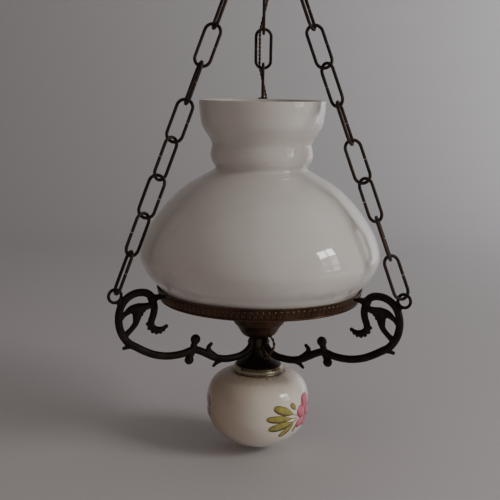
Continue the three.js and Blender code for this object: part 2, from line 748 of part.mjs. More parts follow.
// Collar: a turned brass disc that is hollow below, so it sits on the ball by its edge.
function collar() {
  const wall = coneWall;
  const edge = coneRadius + fit;
  return turned([
    [rodBore, collarTopZ],
    [rodBore, collarTopZ - wall],
    [edge - wall, collarTopZ - wall],
    [collarRadius - wall, collarFootZ + collarHeight * 0.4],
    [collarRadius - wall, collarFootZ],
    [collarRadius, collarFootZ],
    [collarRadius, collarFootZ + collarHeight * 0.5],
    [edge, collarTopZ],
    [rodBore, collarTopZ],
  ]);
}

// Ball: a hollow, slightly flattened ceramic sphere, open at the top and bored at its foot.
const ballFootRadius = washerRadius + ballFootMargin;
function ceramicBall() {
  const zAt = (radius) => ballHalf * Math.sqrt(1 - (radius / ballRadius) ** 2);
  const steps = 10;
  const from = Math.asin(ballBoreRadius / ballRadius);
  const to = Math.PI - Math.asin(ballFootRadius / ballRadius);
  const outline = Array.from({ length: steps + 1 }, (_, step) => {
    const turn = from + ((to - from) * step) / steps;
    return [ballRadius * Math.sin(turn), ballZ + ballHalf * Math.cos(turn)];
  });
  const footZ = ballZ - zAt(ballFootRadius);
  const inner = outline.map(([radius, z]) => (
    [radius * (1 - ballWall / ballRadius), ballZ + (z - ballZ) * (1 - ballWall / ballHalf)]
  ));
  inner[0] = [ballBoreRadius, ballZ + zAt(ballBoreRadius) - ballWall];
  const lastInner = inner.length - 1;
  inner[lastInner] = [ballFootRadius, footZ + footSink + ballWall];
  return turned([
    ...outline,
    [washerRadius + fit, footZ],
    [washerRadius + fit, footZ + footSink],
    [rodBore, footZ + footSink],
    [rodBore, footZ + footSink + ballWall],
    ...inner.reverse(),
    outline[0],
  ], latheSides);
}

// Rod with its washer and nut: it draws the ball, collar, cone, sleeve, cup and hub together.
const holderFootZ = spiderTopZ + fit;
const rodSocketDepth = 8;
const washerTopZ = ballZ - ballHalf * Math.sqrt(1 - (ballFootRadius / ballRadius) ** 2)
  + footSink - fit;
const nutTopZ = washerTopZ - washerThickness - fit;

function lampholder() {
  const top = holderFootZ + holderHeight;
  const floor = top - socketDepth;
  return turned([
    [0, holderFootZ + rodSocketDepth],
    [rodBore, holderFootZ + rodSocketDepth],
    [rodBore, holderFootZ],
    [holderRadius, holderFootZ],
    [holderRadius, top - holderHeight / 5],
    [(holderRadius + socketRadius) / 2, top],
    [socketRadius, top],
    [socketRadius, floor],
    [0, floor],
  ]);
}

const bulbShares = [[0.46, 0.26], [0.5, 0.34], [0.72, 0.5], [0.95, 0.62], [1, 0.72], [0.86, 0.88]];
function bulb() {
  const foot = holderFootZ + holderHeight - socketDepth + fit;
  const globe = bulbShares.map(([out, up]) => [out * bulbRadius, foot + up * bulbLength]);
  const rounded = smooth([...globe, [bulbRadius / 2, foot + 0.975 * bulbLength]], 10);
  return turned([
    [0, foot],
    [capRadius / 2, foot],
    [capRadius, foot + capLength / 6],
    [capRadius, foot + capLength],
    ...rounded,
    [0, foot + bulbLength],
  ]);
}

// Assembly, from the ceiling down

addPiece('ceiling_plate', ceilingPlate(), steel);
addPiece('ceiling_hook', ceilingHook(), bronze);
addPiece('ceiling_canopy', ceilingCanopy(), galleryBronze);
addPiece('canopy_nut', canopyNut(), bronze);
addPiece('terminal_block', terminalBlock(), bakelite);

const hanger = addPiece('hanging_link', chainLink(), bronze);
hanger.rotation.z = Math.PI / 2;
hanger.position.z = hangerEndZ;
addPiece('chain_crown', chainCrown(), bronze).position.z = crownZ;

// The turn of each link about its chain, from the eye up, in degrees from the radial plane.
const linkTurns = {
  arm_left: [83, 18, 140, 20, 143, 76, 143, 78, 143, 30],
  arm_right: [55, 110, 166, 42, 102, 160, 37, 100, 36, 150],
  arm_back: [90, 0, 90, 0, 90, 0, 90, 0, 90, 0],
};
const lowestLink = eyeRadius - eyeGap;
for (const [arm, azimuth] of Object.entries(armAzimuths)) {
  const plane = new THREE.Group();
  plane.rotation.z = azimuth * degrees;
  lamp.add(plane);
  addPiece(arm, scrollArm(), bronze, plane);
  addPiece(`${arm}_screw`, screwBody(), steel, plane);
  linkTurns[arm].forEach((turn, number) => {
    const along = lowestLink + number * linkPitch;
    const link = addPiece(`${arm.replace('arm', 'chain')}_link_${number + 1}`, chainLink(), bronze, plane);
    link.rotation.set(0, -chainLean, turn * degrees);
    link.position.set(
      eyeReach - along * Math.sin(chainLean), 0, eyeZ + along * Math.cos(chainLean),
    );
  });
}

addPiece('gallery_ring', galleryRing(), galleryBronze);
addPiece('gallery_spider', gallerySpider(), galleryBronze);
addPiece('glass_shade', glassShade(), opal);
addPiece('cup', cup(), bronze);
addPiece('column_sleeve', columnSleeve(), brass);
addPiece('cone', cone(), bronze);
addPiece('collar', collar(), brass);
addPiece('ceramic_ball', ceramicBall(), glaze);
addPiece('center_rod', cylinder(rodRadius, nutTopZ - nutHeight, holderFootZ + rodSocketDepth - fit), steel);
addPiece('ball_washer', turned([
  [rodBore, washerTopZ - washerThickness],
  [washerRadius, washerTopZ - washerThickness],
  [washerRadius, washerTopZ],
  [rodBore, washerTopZ],
  [rodBore, washerTopZ - washerThickness],
]), steel);
addPiece('ball_nut', nut(nutRadius, rodBore, nutTopZ - nutHeight, nutTopZ), steel);
addPiece('lampholder', lampholder(), bakelite);
addPiece('bulb', bulb(), clearGlass);
addPiece('flex_upper', cord(flexUpperRoute, flexSteps.upper), cordBrown);
addPiece('flex_middle', cord(flexMiddleRoute, flexSteps.middle), cordBrown);
addPiece('flex', cord(flexRoute, flexSteps.whole), cordBrown);

export default lamp;
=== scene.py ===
import math

import bpy
import numpy as np
from mathutils import Matrix, Vector


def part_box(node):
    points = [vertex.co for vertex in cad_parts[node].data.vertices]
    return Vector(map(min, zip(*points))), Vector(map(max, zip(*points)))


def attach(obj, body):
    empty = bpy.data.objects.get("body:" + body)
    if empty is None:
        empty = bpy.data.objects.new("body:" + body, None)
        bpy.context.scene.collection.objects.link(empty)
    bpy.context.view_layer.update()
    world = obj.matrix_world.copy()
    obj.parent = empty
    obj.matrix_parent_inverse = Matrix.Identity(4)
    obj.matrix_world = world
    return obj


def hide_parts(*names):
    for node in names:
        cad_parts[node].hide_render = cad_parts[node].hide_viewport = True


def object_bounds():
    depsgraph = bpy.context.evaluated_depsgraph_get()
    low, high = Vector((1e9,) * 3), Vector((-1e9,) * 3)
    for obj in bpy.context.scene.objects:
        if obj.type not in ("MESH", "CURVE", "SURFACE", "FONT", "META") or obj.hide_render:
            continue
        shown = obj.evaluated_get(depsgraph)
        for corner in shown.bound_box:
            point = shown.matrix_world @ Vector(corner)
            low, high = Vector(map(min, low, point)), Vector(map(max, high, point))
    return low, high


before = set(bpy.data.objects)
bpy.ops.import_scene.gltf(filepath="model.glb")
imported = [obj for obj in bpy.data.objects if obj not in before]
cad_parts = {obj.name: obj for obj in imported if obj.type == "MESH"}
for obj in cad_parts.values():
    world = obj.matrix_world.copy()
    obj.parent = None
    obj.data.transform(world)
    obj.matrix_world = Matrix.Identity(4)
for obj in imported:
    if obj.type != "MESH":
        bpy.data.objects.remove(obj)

cad_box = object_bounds()


# Camera: it stood a little above the shade's foot and looked down by about ten degrees. The
# lamp's axis stands a little right of the middle and leans by under a degree.
photo_width = 500
photo_focal = 950
camera_pitch = math.radians(10.15)
camera_yaw = math.radians(0.62)
camera_roll = math.radians(0.84)
camera_data = bpy.data.cameras.new("camera")
camera_data.sensor_width = 36
camera_data.lens = camera_data.sensor_width * photo_focal / photo_width
camera = bpy.data.objects.new("camera", camera_data)
bpy.context.scene.collection.objects.link(camera)
camera.location = (0, -1.118, -0.3256)
camera.rotation_euler = (
    Matrix.Rotation(camera_yaw, 3, "Z")
    @ Matrix.Rotation(math.pi / 2 - camera_pitch, 3, "X")
    @ Matrix.Rotation(camera_roll, 3, "Z")
).to_euler()
bpy.context.scene.camera = camera


# Floor and light: a plain pale sheet lies just below the ball and sweeps up far behind the lamp.
# A paned window shines from the right, with soft fill from the left, above and below.
def new_finish(name, colour, roughness, metallic=0.0, coat=0.0):
    finish = bpy.data.materials.new(name)
    finish.use_nodes = True
    shader = finish.node_tree.nodes["Principled BSDF"]
    shader.inputs["Base Color"].default_value = (*colour, 1)
    shader.inputs["Roughness"].default_value = roughness
    shader.inputs["Metallic"].default_value = metallic
    shader.inputs["Coat Weight"].default_value = coat
    shader.inputs["Coat Roughness"].default_value = 0.12
    return finish


floor_gap = 0.003
floor_z = cad_box[0][2] - floor_gap
sheet_size = 8
sweep_start_y = 1.4
sweep_radius = 1.1
sweep_rise = 3
bpy.ops.mesh.primitive_plane_add(
    size=sheet_size, location=(0, sweep_start_y - sheet_size / 2, floor_z)
)
floor = bpy.context.object
floor.name = "floor"
bpy.ops.object.transform_apply(location=True)
for face in floor.data.polygons:
    face.select = False
for corner in floor.data.vertices:
    corner.select = corner.co.y > 0
for edge in floor.data.edges:
    edge.select = all(floor.data.vertices[number].select for number in edge.vertices)
bpy.ops.object.mode_set(mode="EDIT")
bpy.ops.mesh.spin(
    steps=24, angle=-math.pi / 2, center=(0, sweep_start_y, floor_z + sweep_radius), axis=(1, 0, 0)
)
bpy.ops.mesh.extrude_region_move(TRANSFORM_OT_translate={"value": (0, 0, sweep_rise)})
bpy.ops.object.mode_set(mode="OBJECT")
bpy.ops.object.shade_smooth_by_angle(angle=math.radians(20))
floor.data.materials.append(new_finish("pale_sheet", (0.53, 0.497, 0.5), 0.5))


def soft_panel(name, place, towards, width, height, power, colour):
    light = bpy.data.lights.new(name, "AREA")
    light.shape = "RECTANGLE"
    light.size = width
    light.size_y = height
    light.energy = power
    light.color = colour
    panel = bpy.data.objects.new(name, light)
    bpy.context.scene.collection.objects.link(panel)
    panel.location = place
    panel.rotation_euler = (Vector(towards) - Vector(place)).to_track_quat("-Z", "Y").to_euler()
    panel.visible_camera = False
    return panel


lamp_middle = Vector((0, 0, -0.5))
window_place = Vector((1.77, -0.72, 0))
window_turn = (lamp_middle - window_place).to_track_quat("-Z", "Y")
daylight = (1, 0.985, 0.96)
pane_width, pane_height = 0.29, 0.31
column_offset, row_offset = 0.17, 0.36
for column in (-1, 1):
    for row, power in ((-1, 0.8), (0, 1.1), (1, 4.4)):
        pane_shift = Vector((column * column_offset, row * row_offset, 0))
        pane_place = window_place + window_turn @ pane_shift
        pane_ahead = pane_place + window_turn @ Vector((0, 0, -1))
        soft_panel("pane", pane_place, pane_ahead, pane_width, pane_height, power, daylight)
for name, place, towards, size, power, colour in (
    ("window_glow", window_place, lamp_middle, 0.9, 11, daylight),
    ("fill_left", (-1.8, -1.3, 0.3), lamp_middle, 1.6, 3.4, (1, 0.74, 0.57)),
    ("sky", (0.2, -0.4, 1.6), lamp_middle, 2.2, 6, (1, 1, 1)),
    ("table_glow", (0.25, -0.9, floor_z + 0.03), lamp_middle, 0.8, 1.1, (1, 0.97, 0.97)),
    ("wall_wash", (2.1, 1.2, -0.2), (1.2, 2.5, -0.3), 0.9, 33, (0.88, 0.94, 1)),
):
    soft_panel(name, place, towards, size, size, power, colour).visible_glossy = False
world = bpy.data.worlds.new("studio")
world.use_nodes = True
room_light = world.node_tree.nodes["Background"]
room_light.inputs["Color"].default_value = (0.8, 0.75, 0.71, 1)
room_light.inputs["Strength"].default_value = 0.15
bpy.context.scene.world = world


# Flex: two rubber cores in brown braid, twisted together. It hangs from the terminal block to
# the hanging link, winds down through the back chain, follows the arm and enters the column.
def mottle_group():
    """Slow tone changes and fine flecks, as on aged metal and fired glaze."""
    group = bpy.data.node_groups.new("mottle", "ShaderNodeTree")
    for socket, out in (("Patch Scale", "Tone"), ("Fleck Scale", "Fleck")):
        group.interface.new_socket(socket, in_out="INPUT", socket_type="NodeSocketFloat")
        group.interface.new_socket(out, in_out="OUTPUT", socket_type="NodeSocketFloat")
    nodes = group.nodes
    link = group.links.new
    entry = nodes.new("NodeGroupInput")
    leave = nodes.new("NodeGroupOutput")
    place = nodes.new("ShaderNodeTexCoord")
    for socket, out, detail in (("Patch Scale", "Tone", 3), ("Fleck Scale", "Fleck", 5)):
        noise = nodes.new("ShaderNodeTexNoise")
        noise.inputs["Detail"].default_value = detail
        noise.inputs["Roughness"].default_value = 0.6
        link(place.outputs["Object"], noise.inputs["Vector"])
        link(entry.outputs[socket], noise.inputs["Scale"])
        spread = nodes.new("ShaderNodeMapRange")
        spread.inputs["From Min"].default_value = 0.3
        spread.inputs["From Max"].default_value = 0.7
        link(noise.outputs["Fac"], spread.inputs["Value"])
        link(spread.outputs["Result"], leave.inputs[out])
    return group


mottle = mottle_group()


def add_mottle(finish, patch, fleck):
    node = finish.node_tree.nodes.new("ShaderNodeGroup")
    node.node_tree = mottle
    node.inputs["Patch Scale"].default_value = patch
    node.inputs["Fleck Scale"].default_value = fleck
    return node


def mix_colour(finish, mask, low, high):
    """Goes from the low colour to the high one as the mask grows. Each is a tuple or a socket."""
    mix = finish.node_tree.nodes.new("ShaderNodeMix")
    mix.data_type = "RGBA"
    for name, value in (("A", low), ("B", high)):
        socket = next(s for s in mix.inputs if s.name == name and s.type == "RGBA")
        if isinstance(value, tuple):
            socket.default_value = (*value, 1)
        else:
            finish.node_tree.links.new(value, socket)
    finish.node_tree.links.new(mask, mix.inputs["Factor"])
    return next(s for s in mix.outputs if s.type == "RGBA")


def map_value(finish, source, low, high, start=0.0, end=1.0):
    """Takes the source from its start and end to the low and high value."""
    spread = finish.node_tree.nodes.new("ShaderNodeMapRange")
    spread.inputs["From Min"].default_value = start
    spread.inputs["From Max"].default_value = end
    spread.inputs["To Min"].default_value = low
    spread.inputs["To Max"].default_value = high
    finish.node_tree.links.new(source, spread.inputs["Value"])
    return spread.outputs["Result"]


def feed(finish, source, name):
    shader = finish.node_tree.nodes["Principled BSDF"]
    finish.node_tree.links.new(source, shader.inputs[name])


def lay_over(finish, mask, colour):
    """Lays the colour over the finish's own as far as the mask goes."""
    shader = finish.node_tree.nodes["Principled BSDF"]
    base = shader.inputs["Base Color"].links[0].from_socket
    feed(finish, mix_colour(finish, mask, base, colour), "Base Color")


def relief(finish, source, distance):
    bump = finish.node_tree.nodes.new("ShaderNodeBump")
    bump.inputs["Distance"].default_value = distance
    bump.inputs["Strength"].default_value = 0.6
    finish.node_tree.links.new(source, bump.inputs["Height"])
    feed(finish, bump.outputs["Normal"], "Normal")


def aged_finish(
    name, dark, light, roughness, metallic=0.0, patch=40, fleck=400, bump=0.00006, coat=0.0
):
    """Two tones in slow patches, with a roughness and a small relief that follow fine flecks."""
    finish = new_finish(name, dark, roughness[0], metallic, coat)
    tones = add_mottle(finish, patch, fleck)
    feed(finish, mix_colour(finish, tones.outputs["Tone"], dark, light), "Base Color")
    feed(finish, map_value(finish, tones.outputs["Fleck"], *roughness), "Roughness")
    relief(finish, tones.outputs["Fleck"], bump)
    return finish


def smooth_line(points, per_span):
    """Points along a centripetal Catmull-Rom curve through the given points."""
    points = [np.array(p, dtype=float) for p in points]
    ends = [2 * points[0] - points[1], *points, 2 * points[-1] - points[-2]]
    line = []
    for a, b, c, d in zip(ends, ends[1:], ends[2:], ends[3:]):
        t1 = np.linalg.norm(b - a) ** 0.5
        t2 = t1 + np.linalg.norm(c - b) ** 0.5
        t3 = t2 + np.linalg.norm(d - c) ** 0.5
        for step in range(per_span):
            t = t1 + (t2 - t1) * step / per_span
            ab = ((t1 - t) * a + t * b) / t1
            bc = ((t2 - t) * b + (t - t1) * c) / (t2 - t1)
            cd = ((t3 - t) * c + (t - t2) * d) / (t3 - t2)
            abc = ((t2 - t) * ab + t * bc) / t2
            bcd = ((t3 - t) * bc + (t - t1) * cd) / (t3 - t1)
            line.append(((t2 - t) * abc + (t - t1) * bcd) / (t2 - t1))
    line.append(points[-1])
    return line


def even_line(line, spacing):
    """The same line with its points an even distance apart."""
    line = np.array(line)
    run = np.concatenate([[0], np.cumsum(np.linalg.norm(np.diff(line, axis=0), axis=1))])
    count = max(2, round(run[-1] / spacing) + 1)
    at = np.linspace(0, run[-1], count)
    return np.stack([np.interp(at, run, line[:, axis]) for axis in range(3)], axis=1)


def tube(name, points, radii, sides):
    """A round wire along the points, with one radius for all or one at each of them."""
    bpy.ops.curve.primitive_bezier_curve_add(location=(0, 0, 0))
    piece = bpy.context.object
    piece.name = name
    piece.data.splines.clear()
    line = piece.data.splines.new("POLY")
    line.points.add(len(points) - 1)
    if not hasattr(radii, "__len__"):
        radii = [radii] * len(points)
    for corner, point, radius in zip(line.points, points, radii):
        corner.co = (*point, 1)
        corner.radius = radius
    piece.data.dimensions = "3D"
    piece.data.bevel_depth = 1
    piece.data.bevel_resolution = (sides - 4) // 2
    piece.data.use_fill_caps = True
    bpy.ops.object.convert(target="MESH")
    piece.data.name = name
    return piece


def select_only(*pieces):
    bpy.ops.object.select_all(action="DESELECT")
    for piece in pieces:
        piece.select_set(True)
    bpy.context.view_layer.objects.active = pieces[0]


def settle(piece):
    """Puts the piece's place into its mesh, with all faces turned out."""
    select_only(piece)
    bpy.ops.object.transform_apply(location=True, rotation=True, scale=True)
    bpy.ops.object.mode_set(mode="EDIT")
    bpy.ops.mesh.select_all(action="SELECT")
    bpy.ops.mesh.normals_make_consistent(inside=False)
    bpy.ops.object.mode_set(mode="OBJECT")


def dress(piece, finish, body, slot, *nodes, angle=40):
    """Gives the piece its material, smooth shading and body, and hides the CAD nodes. The slot is
    not used.
    """
    settle(piece)
    piece.data.materials.clear()
    piece.data.materials.append(finish)
    bpy.ops.object.shade_smooth_by_angle(angle=math.radians(angle))
    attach(piece, body)
    if nodes:
        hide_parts(*nodes)


def twin_of(piece):
    twin = piece.copy()
    twin.data = piece.data.copy()
    bpy.context.scene.collection.objects.link(twin)
    return twin


def join(name, pieces):
    select_only(*pieces)
    bpy.ops.object.join()
    pieces[0].name = name
    pieces[0].data.name = name
    return pieces[0]


fit = 0.0003
link_wire = 0.0037
link_width = 0.022
link_pitch = 0.04505
link_play = 0.0012
links_per_chain = 10
crown_radius = 0.013
crown_wire = 0.0035
bail_rise = 0.0262
hook_wire = 0.004
hook_drop = 0.078
eye_radius = 0.0075
eye_wire = 0.0034
eye_reach = 0.1849
arm_drop = 0.0901
flex_down_x = 0.016
flex_behind = 0.015
flex_weave = 0.0046
flex_side = 0.00585
upper_split = 0.00027
lower_split = 0.0004
cone_radius = 0.0278
cone_height = 0.0195
cone_top_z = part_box("cone")[1][2]
link_length = link_pitch + link_wire + link_play
crown_gap = (link_wire + crown_wire) / 2 + link_play
eye_gap = (link_wire + eye_wire) / 2 + link_play
chain_run = links_per_chain * link_pitch + link_wire + link_play - crown_gap - eye_gap
hanger_end_z = -hook_drop + (link_wire + hook_wire) / 2 + link_play - link_length
crown_z = hanger_end_z + crown_gap - bail_rise
chain_lean = math.asin((eye_reach - crown_radius) / (chain_run + eye_radius))
eye_z = crown_z - (chain_run + eye_radius) * math.cos(chain_lean)


def weave_points():
    """The flex's way down the back chain: round a square, a quarter turn for each link."""
    lean = np.array([0, -math.sin(chain_lean), math.cos(chain_lean)])
    outward = np.array([0, math.cos(chain_lean), math.sin(chain_lean)])
    first = np.array([0, eye_reach, eye_z]) + lean * (eye_radius - (eye_wire + link_play) / 2)
    top = links_per_chain - 1
    points = []
    for step in range((top - 1) * 6 + 1):
        joint = top - step / 6
        turn = -math.pi / 4 - (math.pi / 2) * (top - joint)
        out = max(-1, min(1, math.cos(turn) * math.sqrt(2))) * flex_weave
        side = max(-1, min(1, math.sin(turn) * math.sqrt(2))) * flex_weave
        points.append(first + lean * joint * link_pitch + outward * out - np.array([side, 0, 0]))
    return points


upper_shares = [[1.06, 0.385], [1, 0.564], [1, 0.769]]
middle_shares = [
    [1, 0.03, 0.112], [0.853, 0.433, 0.381], [0.559, 0.833, 0.649],
    [0.147, 1, 0.806], [0.01, 1, 0.907],
]
crown_shares = [[0, 1.007, 0.205], [0.286, 1.067, 0.441], [0.821, 1.2, 0.771], [1.18, 1.367, 1.149]]
arm_shares = [
    [1.14, 0.957, -0.311], [1.18, 1.009, -0.133], [1.11, 1.028, 0.044], [1.04, 1.006, 0.222],
    [1, 0.979, 0.4], [1, 0.946, 0.556], [1, 0.882, 0.667], [1, 0.79, 0.778], [1, 0.681, 0.85],
    [1, 0.584, 0.861], [1, 0.492, 0.833], [1, 0.411, 0.867], [1, 0.335, 0.939], [1, 0.249, 0.994],
    [1.02, 0.178, 1], [1.14, 0.13, 0.994],
]
column_shares = [
    [0.266, 0.633, 0.477], [0.331, 0.396, 0.641], [0.403, 0.108, 0.723], [0.396, -0.18, 0.692],
    [0.345, -0.414, 0.579], [0.41, -0.619, 0.333], [0.568, -0.741, -0.051], [0.669, -0.727, -0.462],
    [0.612, -0.619, -0.754], [0.468, -0.496, -1.026], [0.36, -0.381, -1.564],
    [0.306, -0.306, -2.179], [0.306, -0.306, -2.692],
]
flex_route = [
    (0, flex_behind, hanger_end_z - lower_split),
    *[
        (flex_side * s, flex_behind * b, hanger_end_z - (hanger_end_z - crown_z) * d)
        for s, b, d in crown_shares
    ],
    *weave_points(),
    *[(flex_side * s, eye_reach * o, eye_z - arm_drop * d) for s, o, d in arm_shares],
    *[
        (cone_radius * s, cone_radius * b, cone_top_z - cone_height * d)
        for s, b, d in column_shares
    ],
    (cone_radius * 0.306, -cone_radius * 0.306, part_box("gallery_spider")[1][2] - fit),
]
flex_middle_route = [
    (flex_down_x, 0, -hook_drop - upper_split),
    *[
        (flex_down_x * o, flex_behind * b, -hook_drop + (hanger_end_z + hook_drop) * d)
        for o, b, d in middle_shares
    ],
    (0, flex_behind, hanger_end_z + lower_split),
]
flex_upper_route = [
    (flex_down_x * 1.12, 0, -0.0159),
    *[(flex_down_x * o, 0, -hook_drop * d) for o, d in upper_shares],
    (flex_down_x, 0, -hook_drop + upper_split),
]
flex_finish = aged_finish(
    "braided_flex", (0.035, 0.02, 0.011), (0.11, 0.066, 0.03), (0.7, 0.9), patch=260, fleck=900,
)
core_radius = 0.0009
core_offset = 0.00078
twist_step = 0.0011
twist_length = 0.011


def twisted_flex(name, route):
    """Two cores round the route's line, a full turn every eleven millimetres."""
    line = even_line(smooth_line(route, 10), twist_step)
    ahead = np.gradient(line, axis=0)
    ahead /= np.linalg.norm(ahead, axis=1)[:, None]
    side = np.cross(ahead[0], [0.3, 1, 0.2])
    sides = []
    for direction in ahead:
        side = side - direction * np.dot(side, direction)
        side /= np.linalg.norm(side)
        sides.append(side.copy())
    cores = []
    for half in (0, math.pi):
        points = []
        for place, (point, direction, across) in enumerate(zip(line, ahead, sides)):
            turn = half + place * twist_step / twist_length * 2 * math.pi
            up = np.cross(direction, across)
            away = math.cos(turn) * across + math.sin(turn) * up
            points.append(point + core_offset * away)
        cores.append(tube(name, points, core_radius, 6))
    return join(name, cores)


for name, route, body, node in (
    ("twin_flex_upper", flex_upper_route, "ceiling", "flex_upper"),
    ("twin_flex_middle", flex_middle_route, "hanger", "flex_middle"),
    ("twin_flex", flex_route, "lamp", "flex"),
):
    dress(twisted_flex(name, route), flex_finish, body, "flex", node)


# Ceiling plate and terminal block: a zinc plated disc that two screws hold to the ceiling. The
# moulded block below it joins the flex to the house wiring.
def refinish(finish, *names):
    for name in names:
        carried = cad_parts[name]
        carried.data.materials.clear()
        carried.data.materials.append(finish)


zinc = aged_finish("zinc_plate", (0.32, 0.32, 0.31), (0.5, 0.5, 0.48), (0.3, 0.5), 0.9)
refinish(zinc, "ceiling_plate", "center_rod")
bakelite = aged_finish(
    "dark_bakelite", (0.03, 0.018, 0.012), (0.055, 0.03, 0.02), (0.2, 0.35), bump=0.00002,
)
refinish(bakelite, "terminal_block")


# Ceiling hook: a forged steel hook with a screwed stem, bronzed as the chains are. The stem
# screws into the plate's boss, and the bow takes the hanging link.
def wear_ridges(finish, colour, start, end):
    shape = finish.node_tree.nodes.new("ShaderNodeNewGeometry")
    lay_over(finish, map_value(finish, shape.outputs["Pointiness"], 0, 1, start, end), colour)


bronze = aged_finish(
    "dark_bronze", (0.016, 0.012, 0.011), (0.046, 0.031, 0.027), (0.4, 0.6), 0.8,
    patch=60, fleck=420, bump=0.00013,
)
wear_ridges(bronze, (0.11, 0.07, 0.05), 0.52, 0.6)
refinish(bronze, "arm_left_screw", "arm_right_screw", "arm_back_screw")
hook_bow = 0.01
hook_bow_z = -hook_drop + hook_bow
stem_radius = 0.0035
stem_top = -0.0033
thread_end = -0.036
stem_end = hook_bow_z + hook_bow + hook_wire + 0.0006
hook_points = [(0, 0, z) for z in (stem_top, -0.02, thread_end, stem_end)]
hook_radii = [stem_radius, stem_radius, stem_radius - 0.0001, hook_wire / 2 + 0.0001]
for step in range(25):
    turn = math.pi / 2 + (0.06 + 0.82 * step / 24) * 2 * math.pi
    hook_points.append((hook_bow * math.cos(turn), 0, hook_bow_z + hook_bow * math.sin(turn)))
    hook_radii.append(hook_wire / 2)
hook_radii[-2:] = [0.0019, 0.0012]
dress(tube("hook", hook_points, hook_radii, 16), bronze, "ceiling", "dark_bronze", "ceiling_hook")


# Ceiling canopy and nut: a spun brass bell that hides the wiring, bronzed outside, with a hole
# for the flex. The six-sided nut on the hook's stem holds it up against the ceiling.
def lathe(name, profile, sides):
    """A turned piece: the first ring is extruded and resized round the closed profile."""
    radius, z = profile[0]
    bpy.ops.mesh.primitive_circle_add(vertices=sides, radius=radius, location=(0, 0, z))
    piece = bpy.context.object
    piece.name = name
    piece.data.name = name
    bpy.ops.object.mode_set(mode="EDIT")
    bpy.ops.mesh.select_all(action="SELECT")
    for next_radius, next_z in [*profile[1:], profile[0]]:
        bpy.ops.mesh.extrude_region_move(TRANSFORM_OT_translate={"value": (0, 0, next_z - z)})
        share = next_radius / radius
        bpy.ops.transform.resize(value=(share, share, 1), center_override=(0, 0, next_z))
        radius, z = next_radius, next_z
    bpy.ops.mesh.select_all(action="SELECT")
    bpy.ops.mesh.remove_doubles(threshold=0.000004)
    bpy.ops.object.mode_set(mode="OBJECT")
    return piece


def smooth_profile(points):
    line = smooth_line([(radius, z, 0) for radius, z in points], 6)
    return [(float(radius), float(z)) for radius, z, _ in line]


def modify(piece, kind, **settings):
    """Adds one modifier to the piece and applies it."""
    select_only(piece)
    bpy.ops.object.modifier_add(type=kind)
    modifier = piece.modifiers[-1]
    for name, value in settings.items():
        setattr(modifier, name, value)
    bpy.ops.object.modifier_apply(modifier=modifier.name)


def extent(node):
    """The lowest z, the highest z and the reach along X of a piece of the CAD."""
    low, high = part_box(node)
    return low[2], high[2], high[0]


def cut_away(piece, cutter):
    modify(piece, "BOOLEAN", operation="DIFFERENCE", solver="EXACT", object=cutter)
    bpy.data.objects.remove(cutter)


gallery_bronze = aged_finish(
    "gallery_bronze", (0.034, 0.017, 0.011), (0.105, 0.055, 0.034), (0.32, 0.48), 0.8,
    patch=45, fleck=420,
)
bell_top = -0.0009
bell_floor = -0.044
bell_floor_inside = -0.043
bell_wall = 0.001
stem_bore = 0.0038
flex_room = 0.0026
bell = smooth_profile([
    (0.052, bell_top), (0.0521, -0.0057), (0.0458, -0.0136),
    (0.0338, -0.0238), (0.026, -0.0339), (0.024, -0.0432),
])
bell_inside = [(r - bell_wall, min(z + 0.0002, bell_top)) for r, z in reversed(bell)]
bell_inside[0] = (0.023, bell_floor_inside)
canopy = lathe("canopy", [
    *bell, (0.0235, bell_floor), (stem_bore, bell_floor), (stem_bore, bell_floor_inside),
    *bell_inside,
], 96)
bpy.ops.mesh.primitive_cylinder_add(
    radius=flex_room, depth=0.02, location=(flex_down_x, 0, bell_floor)
)
cut_away(canopy, bpy.context.object)
dress(canopy, gallery_bronze, "ceiling", "gallery_bronze", "ceiling_canopy", angle=35)


def hex_nut(name, radius, bore, finish, body, slot, node):
    """A six-sided nut: a prism with bevelled ends, bored through."""
    low, high, _ = extent(node)
    middle = (0, 0, (low + high) / 2)
    bpy.ops.mesh.primitive_cylinder_add(
        vertices=6, radius=radius, depth=high - low, location=middle, rotation=(0, 0, math.pi / 6),
    )
    piece = bpy.context.object
    piece.name = name
    modify(piece, "BEVEL", width=0.0004, segments=3)
    bpy.ops.mesh.primitive_cylinder_add(vertices=40, radius=bore, depth=0.03, location=middle)
    cut_away(piece, bpy.context.object)
    dress(piece, finish, body, slot, node, angle=30)


hex_nut("stem_nut", 0.007, stem_bore, bronze, "ceiling", "dark_bronze", "canopy_nut")


# Hanging link and the three chains: thirty long links of 3.7 mm wire and one more above them.
# Each is bent to an oval and butted in one long side, and is bronzed nearly black.
butt_gap = 0.0005
butt_run = 0.004


def oval_link(name):
    """One link, bent from its butted side round both ends, with the wire's ends eased."""
    reach = (link_width - link_wire) / 2
    half = link_length / 2
    points = [(reach, 0, half + butt_gap / 2 + butt_run * share) for share in (0, 0.1, 0.4)]
    for centre_z, start in ((link_length - reach, 0), (reach, math.pi)):
        for step in range(17):
            turn = start + math.pi * step / 16
            points.append((reach * math.cos(turn), 0, centre_z + reach * math.sin(turn)))
    points += [(reach, 0, half - butt_gap / 2 - butt_run * share) for share in (0.4, 0.1, 0)]
    wire = link_wire / 2
    radii = [wire] * len(points)
    radii[0] = radii[-1] = wire * 0.86
    return tube(name, points, radii, 14)


